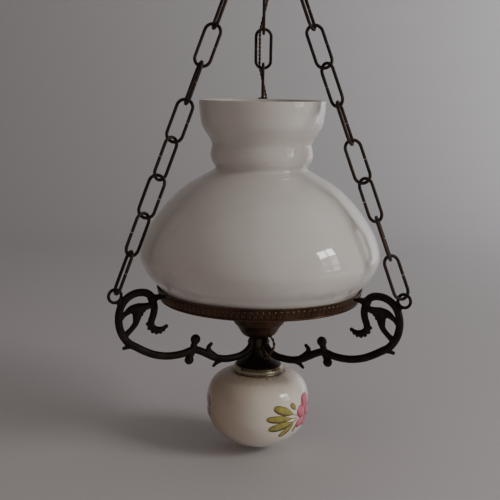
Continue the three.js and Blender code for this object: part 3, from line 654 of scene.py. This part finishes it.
hanging = oval_link("top_link")
hanging.matrix_world = (
    Matrix.Translation((0, 0, hanger_end_z)) @ Matrix.Rotation(math.pi / 2, 4, "Z")
)
dress(hanging, bronze, "hanger", "dark_bronze", "hanging_link")
chain_sides = {
    "left": (210, [83, 18, 140, 20, 143, 76, 143, 78, 143, 30]),
    "right": (330, [55, 110, 166, 42, 102, 160, 37, 100, 36, 150]),
    "back": (90, [90, 0, 90, 0, 90, 0, 90, 0, 90, 0]),
}
for side, (azimuth, turns) in chain_sides.items():
    plane = Matrix.Rotation(math.radians(azimuth), 4, "Z")
    for number, turn in enumerate(turns):
        along = eye_radius - eye_gap + number * link_pitch
        place = Matrix.Translation(
            (eye_reach - along * math.sin(chain_lean), 0, eye_z + along * math.cos(chain_lean))
        )
        lean = Matrix.Rotation(-chain_lean, 4, "Y") @ Matrix.Rotation(math.radians(turn), 4, "Z")
        piece = oval_link(f"{side}_link_{number + 1}")
        piece.matrix_world = plane @ place @ lean
        dress(piece, bronze, "lamp", "dark_bronze", f"chain_{side}_link_{number + 1}")


# Crown: a cast ring with a bail, bronzed. The three chains hang on the ring, and the bail
# hangs in the top link.
def weld(piece, voxel, rounds):
    """Fuses what was joined into one skin and rounds its seams."""
    modify(piece, "REMESH", mode="VOXEL", voxel_size=voxel)
    modify(piece, "SMOOTH", iterations=rounds)


bpy.ops.mesh.primitive_torus_add(
    major_radius=crown_radius, minor_radius=crown_wire / 2, major_segments=64, minor_segments=16,
    location=(0, 0, crown_z),
)
ring = bpy.context.object
shoulder = bail_rise - crown_radius
bail_points = [(crown_radius, 0, crown_z)]
for step in range(25):
    turn = math.pi * step / 24
    bail_points.append(
        (crown_radius * math.cos(turn), 0, crown_z + shoulder + crown_radius * math.sin(turn))
    )
bail_points.append((-crown_radius, 0, crown_z))
crown = join("crown", [ring, tube("bail", bail_points, crown_wire / 2, 14)])
weld(crown, 0.0004, 2)
dress(crown, bronze, "lamp", "dark_bronze", "chain_crown", angle=180)


# Arms: three openwork scrolls cast in brass and bronzed. The foot is screwed to the sleeve, a
# tongue meets the gallery, and the eye takes the lowest link of a chain.
arm_foot_reach = 0.0068
arm_span = eye_reach - arm_foot_reach


def arm_point(share):
    return (arm_foot_reach + share[0] * arm_span, 0, eye_z - share[1] * arm_drop)


scroll_shares = [
    [0.019, 0.765], [0.019, 0.831], [0.029, 0.892], [0.055, 0.944], [0.097, 0.986],
    [0.158, 1.004], [0.229, 1.001], [0.298, 0.963], [0.349, 0.909], [0.392, 0.862],
    [0.442, 0.823], [0.481, 0.827], [0.522, 0.849], [0.584, 0.86], [0.657, 0.852],
    [0.738, 0.811], [0.807, 0.746], [0.861, 0.682], [0.906, 0.626], [0.939, 0.552],
    [0.962, 0.469], [0.974, 0.38], [0.977, 0.294], [0.972, 0.211], [0.957, 0.13],
    [0.934, 0.067], [0.902, 0.02], [0.866, -0.007], [0.825, -0.014], [0.785, 0.003],
    [0.754, 0.053], [0.74, 0.131], [0.734, 0.198], [0.74, 0.286], [0.755, 0.368],
    [0.757, 0.42], [0.739, 0.468], [0.712, 0.492], [0.679, 0.488], [0.651, 0.46],
]
leaf_shares = [
    [0.742, 0.15], [0.79, 0.172], [0.844, 0.182], [0.891, 0.19], [0.939, 0.252], [0.966, 0.3],
]
leaf_tail_shares = [
    [0.848, 0.19], [0.853, 0.29], [0.863, 0.375], [0.892, 0.445], [0.926, 0.503], [0.944, 0.54],
]
upper_thorn_shares = [[0.292, 0.96], [0.336, 0.873], [0.345, 0.817], [0.325, 0.772]]
lower_thorn_shares = [[0.23, 0.995], [0.281, 1.036], [0.307, 1.078]]
outer_thorn_shares = [[0.872, 0.655], [0.916, 0.667], [0.953, 0.682]]
knob_shares = [[0.441, 0.684], [0.462, 0.82], [0.487, 0.947]]
arm_half = 0.0045
arm_depth_share = 0.0033 / arm_half


def strand(shares, factors):
    """A branch of the casting whose width follows the factors, spread evenly along it."""
    line = smooth_line([arm_point(share) for share in shares], 8)
    at = np.linspace(0, 1, len(line))
    radii = arm_half * np.interp(at, np.linspace(0, 1, len(factors)), factors)
    return tube("strand", line, list(radii), 16)


def main_scroll():
    """The long branch from the foot to the curled tip, full for most of its length."""
    line = smooth_line([arm_point(share) for share in scroll_shares], 5)
    at = np.linspace(0, 1, len(line))
    widths = np.interp(at, [0, 0.06, 0.74, 0.78, 0.95, 1], [0.8, 1, 1, 0.98, 0.88, 0.45])
    return tube("scroll", line, list(arm_half * widths), 20)


def bead(share, radius):
    bpy.ops.mesh.primitive_uv_sphere_add(
        segments=24, ring_count=16, radius=radius, location=arm_point(share)
    )
    return bpy.context.object


def scroll_arm():
    """The casting, in the XZ plane: strands, knobs and lobes, fused to one skin."""
    parts = [
        main_scroll(),
        strand(leaf_shares, [0.75, 0.95, 1.3, 1.0, 0.6, 0.75]),
        strand(leaf_tail_shares, [1.35, 1.15, 0.8, 0.7, 0.8, 0.95]),
        strand(upper_thorn_shares, [0.95, 0.7, 0.5]),
        strand(lower_thorn_shares, [0.9, 0.6, 0.42]),
        strand(outer_thorn_shares, [0.9, 0.6, 0.42]),
        strand(knob_shares, [0.8, 1, 0.8]),
    ]
    lobes = [
        ([0.749, 0.072], 0.0056), (knob_shares[0], 0.0061), (knob_shares[2], 0.0057),
        ([0.325, 0.772], 0.0022), ([0.307, 1.078], 0.0018), ([0.651, 0.46], 0.0025),
        ([0.78, 0.402], 0.0024), ([0.769, 0.458], 0.0026), ([0.745, 0.504], 0.0026),
        ([0.718, 0.526], 0.0025), ([0.691, 0.526], 0.0023), ([0.668, 0.508], 0.0018),
        ([0.846, 0.2], 0.006), ([0.852, 0.26], 0.005), ([0.806, 0.222], 0.0024),
        ([0.822, 0.266], 0.0025), ([0.838, 0.312], 0.0024), ([0.85, 0.36], 0.0022),
        ([0.878, 0.232], 0.0026), ([0.91, 0.2], 0.0022),
    ]
    parts += [bead(share, radius) for share, radius in lobes]
    tip_radius = arm_half / 3
    _, gallery_edge, gallery_reach = extent("gallery_ring")
    tongue_tip = (gallery_reach + fit, 0, gallery_edge - tip_radius)
    tongue_root = arm_point([0.757, 0.09])
    middle = ((tongue_root[0] + tongue_tip[0]) / 2, 0, tongue_tip[2])
    tongue_radii = [arm_half * 1.1, arm_half * 0.8, tip_radius]
    parts.append(tube("tongue", [tongue_root, middle, tongue_tip], tongue_radii, 14))
    bpy.ops.mesh.primitive_torus_add(
        major_radius=eye_radius, minor_radius=eye_wire / 2 + 0.0001,
        major_segments=48, minor_segments=16,
        location=(eye_reach, 0, eye_z), rotation=(math.pi / 2, 0, 0),
    )
    eye = bpy.context.object
    root = Vector(arm_point([0.952, 0.16]))
    centre = Vector((eye_reach, 0, eye_z))
    edge = centre + (root - centre).normalized() * (eye_radius + 0.0008)
    stem = tube("eye_stem", [edge, root], [arm_half * 0.75] * 2, 14)
    body = join("arm", parts + [stem])
    body.scale = (1, arm_depth_share, 1)
    settle(body)
    body = join("arm", [body, eye])
    weld(body, 0.0005, 3)
    return body


screw_low, screw_high, _ = extent("arm_back_screw")
screw_z = (screw_low + screw_high) / 2
screw_head = 0.0032
screw_seat = 0.0116
seat_depth = 0.01
first_arm = scroll_arm()
for radius, depth, place, turn in (
    (arm_foot_reach, 0.06, (0, 0, -0.64), 0),
    (screw_head, seat_depth, (screw_seat + seat_depth / 2, 0, screw_z), math.pi / 2),
):
    bpy.ops.mesh.primitive_cylinder_add(
        vertices=48, radius=radius, depth=depth, location=place, rotation=(0, turn, 0),
    )
    cut_away(first_arm, bpy.context.object)
for side, (azimuth, _) in chain_sides.items():
    arm = twin_of(first_arm)
    arm.name = f"scroll_arm_{side}"
    arm.data.name = arm.name
    arm.rotation_euler = (0, 0, math.radians(azimuth))
    dress(arm, bronze, "lamp", "dark_bronze", f"arm_{side}", angle=180)
bpy.data.objects.remove(first_arm)


# Gallery: a stamped brass ring with a rolled edge above and below and a row of pressed arches.
# A flat spider on the rod carries it, and its inner shelf carries the glass.
gallery_foot, gallery_top, gallery_radius = extent("gallery_ring")
gallery_height = gallery_top - gallery_foot
gallery_flare = 0.004
sheet_metal = 0.0012
gallery_inner = gallery_radius - gallery_flare - sheet_metal
shelf_z = gallery_foot + 0.0014
shelf_width = 0.008


def gallery_at(down, out):
    """A point on the ring's outer face, a share of its height down from the top."""
    return (gallery_radius - gallery_flare * down + out, gallery_top - gallery_height * down)


outer_face = [
    [0, -0.0005], [0.015, -0.0001], [0.06, 0.0001], [0.1, -0.0001], [0.125, -0.0006],
    [0.2, -0.0007], [0.5, -0.0005], [0.8, -0.0006], [0.86, -0.0006], [0.885, -0.0001],
    [0.935, 0.0001], [0.98, -0.0001], [1, -0.0005],
]
motif_count = 114
band = lathe("band", [
    *[gallery_at(down, out) for down, out in outer_face],
    (gallery_inner, gallery_foot), (gallery_inner, shelf_z),
    (gallery_inner - shelf_width, shelf_z), (gallery_inner - shelf_width, shelf_z + sheet_metal),
    (gallery_inner, shelf_z + sheet_metal), gallery_at(0.02, -0.0013), gallery_at(0, -0.001),
], 2 * motif_count)
band_middle = gallery_at(0.5, -0.0004)
arch_radius = 0.0021
arch_z = 0.0016
bpy.ops.mesh.primitive_torus_add(
    major_radius=arch_radius, minor_radius=0.00048, major_segments=12, minor_segments=4,
    location=(0, 0, arch_z), rotation=(math.pi / 2, 0, 0),
)
arch = bpy.context.object
bpy.ops.object.mode_set(mode="EDIT")
bpy.ops.mesh.select_all(action="SELECT")
bpy.ops.mesh.bisect(plane_co=(0, 0, 0.0014), plane_no=(0, 0, 1), clear_inner=True)
bpy.ops.object.mode_set(mode="OBJECT")
legs = []
for x, low, high, radius in (
    (-arch_radius, -0.0034, arch_z, 0.00045),
    (0, -0.0036, 0.0022, 0.00062),
):
    leg_points = [(x, 0, low), (x, 0, (low + high) / 2), (x, 0, high)]
    legs.append(tube("leg", leg_points, [radius * 0.8, radius, radius * 0.6], 6))
stamp = join("stamp", [arch, *legs])
settle(stamp)
lean_angle = math.atan2(gallery_flare, gallery_height)
stamps = []
for number in range(motif_count):
    twin = twin_of(stamp)
    twin.matrix_world = (
        Matrix.Rotation(2 * math.pi * number / motif_count, 4, "Z")
        @ Matrix.Translation((band_middle[0], 0, band_middle[1]))
        @ Matrix.Rotation(lean_angle, 4, "Y")
        @ Matrix.Rotation(math.pi / 2, 4, "Z")
    )
    stamps.append(twin)
bpy.data.objects.remove(stamp)
gallery = join("gallery", [band, *stamps])
stamped_bronze = gallery_bronze.copy()
stamped_bronze.name = "stamped_bronze"
wear_ridges(stamped_bronze, (0.2, 0.12, 0.07), 0.51, 0.66)
dress(gallery, stamped_bronze, "lamp", "gallery_bronze", "gallery_ring", angle=50)
refinish(gallery_bronze, "gallery_spider")


# Glass shade: blown opal glass with a flared rim, a beaded neck and a wide body. Its foot
# stands loose on the gallery's shelf, and it lifts off upwards.
shade_foot, shade_top, shade_radius = extent("glass_shade")
shade_body = shade_top - shade_foot - gallery_height
chain_reach = crown_radius + (crown_z - shade_top) * math.tan(chain_lean)
rim_gap = 0.0117
rim_radius = chain_reach - link_width / 2 - rim_gap
waist_radius = 0.0586
bead_radius = 0.0603
neck_radius = 0.0544
fitter_radius = gallery_inner - 3 * fit
glass_wall = 0.003
edge_round = 0.0003


def shade_level(share):
    return shade_foot + gallery_height + share * shade_body


rim_shares = [[1, 1], [0.998, 0.964], [0.983, 0.916], [0.95, 0.862], [0.886, 0.824], [0.824, 0.792]]
body_shares = [
    [0.445, 0.609], [0.614, 0.544], [0.751, 0.465], [0.873, 0.366], [0.96, 0.267],
    [1, 0.165], [0.985, 0.119], [0.942, 0.063], [0.876, 0.017],
]
shade_points = [(rim_radius * across, share) for across, share in rim_shares] + [
    (waist_radius, 0.765), ((waist_radius + bead_radius) / 2, 0.738), (bead_radius, 0.703),
    ((neck_radius + bead_radius * 2) / 3, 0.672), (neck_radius, 0.637),
] + [(shade_radius * across, share) for across, share in body_shares]
shade_outside = [(radius, shade_level(share)) for radius, share in shade_points]
shade_outside += [
    (fitter_radius * 1.022, shade_foot + gallery_height * 0.746),
    (fitter_radius * 1.008, shade_foot + gallery_height * 0.44),
    (fitter_radius, shade_foot + edge_round),
]
shade_outside = smooth_profile(shade_outside)


def walled(outside, wall):
    """The inner face of a wall of even thickness, from the outline's end back to its start."""
    outline = np.array(outside)
    along = np.gradient(outline, axis=0)
    along /= np.linalg.norm(along, axis=1)[:, None]
    inside = outline + wall * np.stack([along[:, 1], -along[:, 0]], axis=1)
    return [(float(r), float(z)) for r, z in inside[::-1]]


shade_inside = walled(shade_outside, glass_wall)
shade = lathe("opal_shade", [
    *[(r, min(z, shade_top - edge_round)) for r, z in shade_outside],
    (fitter_radius - 0.0006, shade_foot), (fitter_radius - 0.0024, shade_foot),
    *[(r, max(shade_foot + edge_round, min(z, shade_top - edge_round))) for r, z in shade_inside],
    (rim_radius - 0.0022, shade_top), (rim_radius - 0.0008, shade_top),
], 180)
opal = new_finish("opal_glass", (0.65, 0.61, 0.57), 0.07)
opal_shader = opal.node_tree.nodes["Principled BSDF"]
for name, value in (
    ("Subsurface Weight", 0.25), ("Subsurface Radius", (0.012, 0.01, 0.008)),
    ("Coat Weight", 0.4), ("Coat Roughness", 0.03),
):
    opal_shader.inputs[name].default_value = value
opal_tones = add_mottle(opal, 9, 60)
opal_colour = mix_colour(
    opal, opal_tones.outputs["Tone"], (0.585, 0.542, 0.502), (0.65, 0.618, 0.582)
)
feed(opal, opal_colour, "Base Color")
relief(opal, opal_tones.outputs["Tone"], 0.0004)
dress(shade, opal, "shade", "opal_glass", "glass_shade", angle=60)


# Cup: a spun brass bowl under the spider, bronzed, with a hole in its side for the flex. The
# rod passes through its foot and draws it against the hub.
cup_foot, cup_top, cup_radius = extent("cup")
cup_depth = cup_top - cup_foot
cup_wall = 0.001
rod_bore = 0.0053
bead_rise, bead_down, bead_spread = 0.0006, 0.62, 0.03
cup_outside = smooth_profile([
    (cup_radius * across, cup_top - down * cup_depth)
    for across, down in ([1, 0], [0.99, 0.22], [0.89, 0.53], [0.71, 0.73], [0.54, 0.92])
] + [(0.0122, cup_foot)])
for number, (r, z) in enumerate(cup_outside):
    from_bead = ((cup_top - z) / cup_depth - bead_down) / bead_spread
    cup_outside[number] = (r + bead_rise * math.exp(-from_bead ** 2), z)
cup = lathe("spun_cup", [
    *cup_outside, (rod_bore, cup_foot), (rod_bore, cup_foot + cup_wall),
    *[(max(r, 0.006), z) for r, z in walled(cup_outside, cup_wall)],
], 96)


def flex_cutter():
    """Room for the flex along its last stretch, through the cone and the cup."""
    line = even_line(smooth_line(flex_route[-17:], 8), 0.0015)
    return tube("flex_room", line, flex_room, 12)


cut_away(cup, flex_cutter())
dress(cup, gallery_bronze, "lamp", "gallery_bronze", "cup", angle=35)


# Column sleeve: a turned brass tube on the rod, worn bright between the feet of the arms. Three
# small screws hold the feet against it.
dirty_brass = aged_finish(
    "dirty_brass", (0.022, 0.017, 0.01), (0.085, 0.065, 0.036), (0.34, 0.5), 0.85,
    patch=90, fleck=380, bump=0.00004,
)
sleeve_foot, sleeve_top, _ = extent("column_sleeve")
sleeve_out, sleeve_groove, sleeve_edge = 0.0065, 0.0061, 0.0063
sleeve = lathe("sleeve", [(rod_bore, sleeve_foot)] + [
    (out, sleeve_top + (sleeve_foot - sleeve_top) * down) for down, out in (
        (1, sleeve_edge), (0.97, sleeve_out), (0.9, sleeve_out), (0.88, sleeve_groove),
        (0.84, sleeve_groove), (0.82, sleeve_out), (0.18, sleeve_out), (0.16, sleeve_groove),
        (0.12, sleeve_groove), (0.1, sleeve_out), (0.03, sleeve_out), (0, sleeve_edge),
    )
] + [(rod_bore, sleeve_top)], 64)
dress(sleeve, dirty_brass, "lamp", "brass", "column_sleeve", angle=30)


# Cone: a thin spun trumpet of bronzed brass. It covers the opening of the collar, and the flex
# passes in at its back and out at its front.
cone_neck = 0.008
spun_wall = 0.0009
cone_outside = smooth_profile([
    (cone_neck + out * (cone_radius - cone_neck), cone_top_z - down * cone_height)
    for out, down in ([0, 0], [0.05, 0.18], [0.15, 0.36], [0.33, 0.54], [0.58, 0.71], [0.86, 0.88])
] + [(cone_radius, extent("cone")[0])])[1:]
cone = lathe("trumpet", [
    (0.0076, cone_top_z), *cone_outside,
    *[(r - spun_wall, z) for r, z in reversed(cone_outside)],
    (0.0071, cone_top_z - spun_wall), (rod_bore, cone_top_z - spun_wall), (rod_bore, cone_top_z),
], 96)
cut_away(cone, flex_cutter())
dress(cone, bronze, "lamp", "dark_bronze", "cone", angle=35)


# Collar: a turned brass disc, polished by wear, that is hollow below. It sits on the ball's
# shoulder and carries the cone.
pale_brass = aged_finish(
    "pale_brass", (0.38, 0.32, 0.22), (0.52, 0.45, 0.33), (0.26, 0.3), 0.95,
    patch=45, fleck=150, bump=0.000002,
)
collar_foot, collar_top, collar_radius = extent("collar")
collar_inside = collar_radius - spun_wall
collar = lathe("turned_collar", [
    (rod_bore, collar_top), (cone_radius - 0.0002, collar_top),
    (cone_radius + 0.0003, collar_top - 0.0004),
    (0.0288, collar_top - 0.0012), (0.029, collar_top - 0.0017), (0.0298, collar_top - 0.0022),
    (collar_radius - 0.0002, collar_top - 0.0033), (collar_radius, collar_top - 0.004),
    (collar_radius, collar_foot + 0.0016), (collar_radius - 0.0003, collar_foot + 0.0012),
    (collar_radius - 0.0003, collar_foot + 0.0008), (collar_radius, collar_foot + 0.0004),
    (collar_radius - 0.0002, collar_foot), (collar_inside, collar_foot),
    (collar_inside, collar_foot + 0.003), (cone_radius - 0.0006, collar_top - spun_wall),
    (rod_bore, collar_top - spun_wall),
], 128)
dress(collar, pale_brass, "lamp", "brass", "collar")


# Ball: slip-cast ceramic under a cream glaze, flattened and full-shouldered, with flowers painted
# on two sides. It is clamped between the collar and the washer, and dust clings near the collar.
_, _, ball_radius = extent("ceramic_ball")
ball_half = 0.0505
ball_z = collar_foot - fit - ball_half * math.sqrt(1 - (collar_radius / ball_radius) ** 2)
ball_shares = [
    [0.193, 0.897], [0.491, 0.871], [0.65, 0.826], [0.78, 0.753], [0.88, 0.65], [0.95, 0.511],
    [0.985, 0.359], [1, 0.11], [0.987, -0.15], [0.952, -0.295], [0.886, -0.457], [0.786, -0.61],
    [0.655, -0.748], [0.493, -0.868], [0.322, -0.947],
]
ball_outside = smooth_profile(
    [(ball_radius * across, ball_z + ball_half * up) for across, up in ball_shares]
)
foot_z = ball_outside[-1][1]
foot_recess = 0.0163
recess_z = foot_z + 0.003
hollow_width, hollow_height = 0.92, 0.9
ball = lathe("glazed_ball", [
    *ball_outside, (0.0194, foot_z - 0.0002), (0.0168, foot_z),
    (foot_recess, foot_z + 0.0004), (foot_recess, recess_z),
    (rod_bore, recess_z), (rod_bore, recess_z + 0.005),
    *[
        (r * hollow_width, ball_z + (z - ball_z) * hollow_height)
        for r, z in reversed(ball_outside[1:-1])
    ],
    (0.012, ball_outside[0][1] - 0.005),
], 160)


def glaze_finish():
    """Cream glaze with faint clouds, painted warm shade on the left side, dust at the collar and a
    painted shadow just under the collar.
    """
    finish = new_finish("cream_glaze", (0.74, 0.68, 0.59), 0.1, coat=0.5)
    tree = finish.node_tree
    tones = add_mottle(finish, 14, 240)
    clouds = mix_colour(finish, tones.outputs["Tone"], (0.7, 0.635, 0.545), (0.77, 0.72, 0.645))
    feed(finish, clouds, "Base Color")
    place = tree.nodes.new("ShaderNodeTexCoord")
    split = tree.nodes.new("ShaderNodeSeparateXYZ")
    tree.links.new(place.outputs["Object"], split.inputs["Vector"])
    # Painted shade: warm brown laid over the glaze, strongest at the far left and gone just past
    # the middle.
    painted_left_shade = map_value(finish, split.outputs["X"], 0.75, 0, -0.052, 0.004)
    lay_over(finish, painted_left_shade, (0.36, 0.235, 0.145))
    height = split.outputs["Z"]
    near_collar = map_value(finish, height, 0, 1, ball_z + 0.0365, collar_foot)
    flecks = map_value(finish, tones.outputs["Fleck"], 0.35, 1, 0.1, 0.9)
    dust = tree.nodes.new("ShaderNodeMath")
    dust.operation = "MULTIPLY"
    tree.links.new(near_collar, dust.inputs[0])
    tree.links.new(flecks, dust.inputs[1])
    lay_over(finish, dust.outputs["Value"], (0.25, 0.155, 0.075))
    # Painted shadow: a near-black band on the glaze just below the collar's foot.
    edge = map_value(finish, height, 0, 0.85, collar_foot - 0.0011, collar_foot - 0.0004)
    lay_over(finish, edge, (0.05, 0.03, 0.014))
    feed(finish, map_value(finish, dust.outputs["Value"], 0.09, 0.6), "Roughness")
    relief(finish, tones.outputs["Tone"], 0.0003)
    return finish


glaze = glaze_finish()
ball_reaches, ball_levels = zip(*[(r, z - ball_z) for r, z in reversed(ball_outside)])
dress(ball, glaze, "lamp", "glazed_ball", "ceramic_ball", angle=45)


paint_lift = 0.00012
rank_lift = 0.00004
slope_step = 0.001


def dab(name, rank, azimuth, height, length, width, turn, point_share):
    """One stroke of colour, wrapped round the ball just proud of the glaze. The azimuth runs from
    the front to the right, the height up from the ball's middle. A higher rank lies on top."""
    bpy.ops.mesh.primitive_circle_add(vertices=28, radius=1, fill_type="TRIFAN", location=(0, 0, 0))
    leaf = bpy.context.object
    leaf.name = name
    bpy.ops.object.mode_set(mode="EDIT")
    bpy.ops.mesh.select_all(action="SELECT")
    bpy.ops.mesh.subdivide(number_cuts=2)
    bpy.ops.object.mode_set(mode="OBJECT")
    rim_share = leaf.data.attributes.new("rim_share", "FLOAT", "POINT")
    for corner, share in zip(leaf.data.vertices, rim_share.data):
        x, y, _ = corner.co
        share.value = max(0.0, -y) ** 1.5 + 0.55 * (x * x + y * y) ** 4
        narrow = 1 - point_share * max(0, x) ** 1.3 + 0.3 * max(0, -x) ** 2
        corner.co = (x * length / 2, y * width / 2 * narrow, 0)
    angle = math.radians(azimuth)
    heights = [height - slope_step, height, height + slope_step]
    below, out, above = np.interp(heights, ball_levels, ball_reaches)
    slope = (below - above) / (2 * slope_step)
    centre = Vector((out * math.sin(angle), -out * math.cos(angle), ball_z + height))
    normal = Vector((math.sin(angle), -math.cos(angle), slope)).normalized()
    east = Vector((math.cos(angle), math.sin(angle), 0))
    facing = Matrix((east, normal.cross(east), normal)).transposed().to_4x4()
    spun = Matrix.Rotation(math.radians(turn), 4, "Z")
    leaf.matrix_world = Matrix.Translation(centre + normal * 0.002) @ facing @ spun
    bpy.ops.object.transform_apply(location=True, rotation=True, scale=True)
    modify(leaf, "SHRINKWRAP", target=ball, offset=paint_lift + rank * rank_lift)
    return leaf


def brushed_paint(name, dark, light, edge, patch):
    """Glazed-over colour that a full brush leaves darker along the rim of each stroke."""
    finish = aged_finish(name, dark, light, (0.12, 0.2), patch=patch, fleck=600, coat=0.5)
    rim = finish.node_tree.nodes.new("ShaderNodeAttribute")
    rim.attribute_name = "rim_share"
    lay_over(finish, map_value(finish, rim.outputs["Fac"], 0, 1, 0.08, 0.75), edge)
    return finish


leaf_paint = brushed_paint(
    "leaf_paint", (0.24, 0.2, 0.03), (0.42, 0.36, 0.09), (0.07, 0.052, 0.008), 160
)
petal_paint = brushed_paint(
    "petal_paint", (0.5, 0.085, 0.14), (0.68, 0.24, 0.31), (0.3, 0.028, 0.065), 150
)
dark_paint = brushed_paint(
    "dark_paint", (0.14, 0.02, 0.03), (0.32, 0.07, 0.09), (0.07, 0.01, 0.015), 170
)
leaves = [
    (43.8, 0.0128, 0.0135, 0.0069, 314), (31.3, 0.0093, 0.0331, 0.0112, 337),
    (26.3, 0.0004, 0.0385, 0.0097, 355), (28.7, -0.0087, 0.0373, 0.0115, 10),
    (36.4, -0.0152, 0.0264, 0.009, 44), (48.1, -0.0149, 0.0129, 0.004, 84),
]
stems = [
    (48, 0.0016, 0.008, 0.0012, 345), (46.5, -0.0014, 0.009, 0.0012, 0),
    (47, -0.0046, 0.0095, 0.0012, 22),
]
rear_leaves = [
    (-112, 0.0045, 0.026, 0.01, 190), (-112, -0.007, 0.024, 0.009, 166),
    (-106, 0.015, 0.018, 0.008, 220),
]
petals = [
    (66, 0.0135, 0.022, 0.02, 270), (58, 0.003, 0.021, 0.0165, 325),
    (58.5, -0.0095, 0.022, 0.014, 15), (86, 0.005, 0.02, 0.017, 200),
    (82, -0.013, 0.019, 0.016, 120), (73, 0.001, 0.019, 0.015, 300),
    (70, -0.01, 0.019, 0.013, 35),
]
dark_petals = [
    (-73, 0.0106, 0.019, 0.012, 332), (-71, -0.0025, 0.012, 0.0085, 296),
    (-94, 0.008, 0.018, 0.012, 200), (-88, -0.009, 0.016, 0.011, 110),
    (70, -0.003, 0.0075, 0.006, 20),
]
for name, paint, strokes, point_share in (
    ("painted_leaves", leaf_paint, leaves + stems + rear_leaves, 0.85),
    ("painted_petals", petal_paint, petals, 0.3),
    ("painted_dark_petals", dark_paint, dark_petals, 0.3),
):
    dabs = [dab(name, rank, *stroke, point_share) for rank, stroke in enumerate(strokes)]
    spray = join(name, dabs)
    modify(spray, "SOLIDIFY", thickness=0.0002, offset=-1)
    dress(spray, paint, "lamp", "glazed_ball", angle=60)


# Rod, washer and nut below the ball: plated steel. The nut draws the whole column together and
# clamps the ball against the collar.
washer_foot, washer_top, _ = extent("ball_washer")
washer_radius = 0.016
washer = lathe("washer", [
    (rod_bore, washer_foot), (washer_radius - 0.0004, washer_foot),
    (washer_radius, washer_foot + 0.0003), (washer_radius, washer_top - 0.0003),
    (washer_radius - 0.0004, washer_top), (rod_bore, washer_top),
], 72)
dress(washer, zinc, "lamp", "steel", "ball_washer", angle=30)
hex_nut("rod_nut", 0.0085, rod_bore, zinc, "lamp", "steel", "ball_nut")


# Lampholder: moulded dark bakelite with rings to grip, screwed on the rod's top end. The bulb
# screws into its open mouth.
holder_foot, holder_top, _ = extent("lampholder")
holder_height = holder_top - holder_foot
holder_radius = 0.0195
groove_radius = 0.0187
holder_mouth = 0.0142
mouth_depth = 0.03
holder_socket = 0.008
holder_profile = [
    (0.001, holder_foot + holder_socket), (rod_bore, holder_foot + holder_socket),
    (rod_bore, holder_foot),
]
for up, out in (
    (0, 0.015), (0.02, 0.019), (0.05, holder_radius), (0.3, holder_radius),
    (0.32, 0.0188), (0.35, 0.0188), (0.37, holder_radius),
):
    holder_profile.append((out, holder_foot + up * holder_height))
for groove in range(5):
    low = 0.5 + groove * 0.06
    for up, out in (
        (0, holder_radius), (0.012, groove_radius), (0.032, groove_radius), (0.044, holder_radius),
    ):
        holder_profile.append((out, holder_foot + (low + up) * holder_height))
holder_profile += [
    (0.0193, holder_foot + 0.0425), (0.0178, holder_foot + 0.049), (0.0165, holder_top - 0.0004),
    (0.016, holder_top), (0.0147, holder_top), (holder_mouth, holder_top - 0.0006),
    (holder_mouth, holder_top - mouth_depth), (0.001, holder_top - mouth_depth),
]
holder = lathe("bakelite_holder", holder_profile, 96)
dress(holder, bakelite, "lamp", "bakelite", "lampholder", angle=35)


# Bulb: a frosted glass bulb with a threaded metal cap. It screws into the holder and comes out
# upwards through the shade.
bulb_foot, bulb_top, _ = extent("bulb")
bulb_length = bulb_top - bulb_foot
thread_pitch = 0.0033
thread_root, thread_crest = 0.0121, 0.013
globe_radius = 0.03
globe_foot = bulb_foot + 0.027
globe_tip = 0.0008
cap_profile = [
    (0.001, bulb_foot), (0.0045, bulb_foot + 0.0002), (0.0065, bulb_foot + 0.0012),
    (0.0118, bulb_foot + 0.0043),
]
for thread in range(6):
    for rise, out in (
        (0, thread_root), (0.0009, thread_crest), (0.0018, thread_crest), (0.0026, thread_root),
    ):
        cap_profile.append((out, bulb_foot + 0.0052 + thread * thread_pitch + rise))
cap_profile += [
    (0.0125, bulb_foot + 0.0255), (0.013, bulb_foot + 0.0262), (0.0118, bulb_foot + 0.0266),
    (0.001, bulb_foot + 0.0266),
]
cap = lathe("bulb_cap", cap_profile, 48)
globe_shares = [
    [0.46, 0.3], [0.5, 0.34], [0.72, 0.5], [0.95, 0.62], [1, 0.72], [0.86, 0.88], [0.5, 0.975],
]
globe_points = [(0.012, globe_foot)]
globe_points += [(globe_radius * out, bulb_foot + up * bulb_length) for out, up in globe_shares]
globe_points.append((globe_tip, bulb_top))
globe = lathe("bulb_globe", [(globe_tip, globe_foot), *smooth_profile(globe_points)], 64)
frosted = aged_finish(
    "frosted_glass", (0.8, 0.8, 0.77), (0.86, 0.86, 0.83), (0.16, 0.24),
    patch=20, fleck=900, bump=0.000003,
)
dress(cap, pale_brass, "bulb", "bulb_glass", "bulb")
dress(globe, frosted, "bulb", "bulb_glass", "bulb", angle=60)
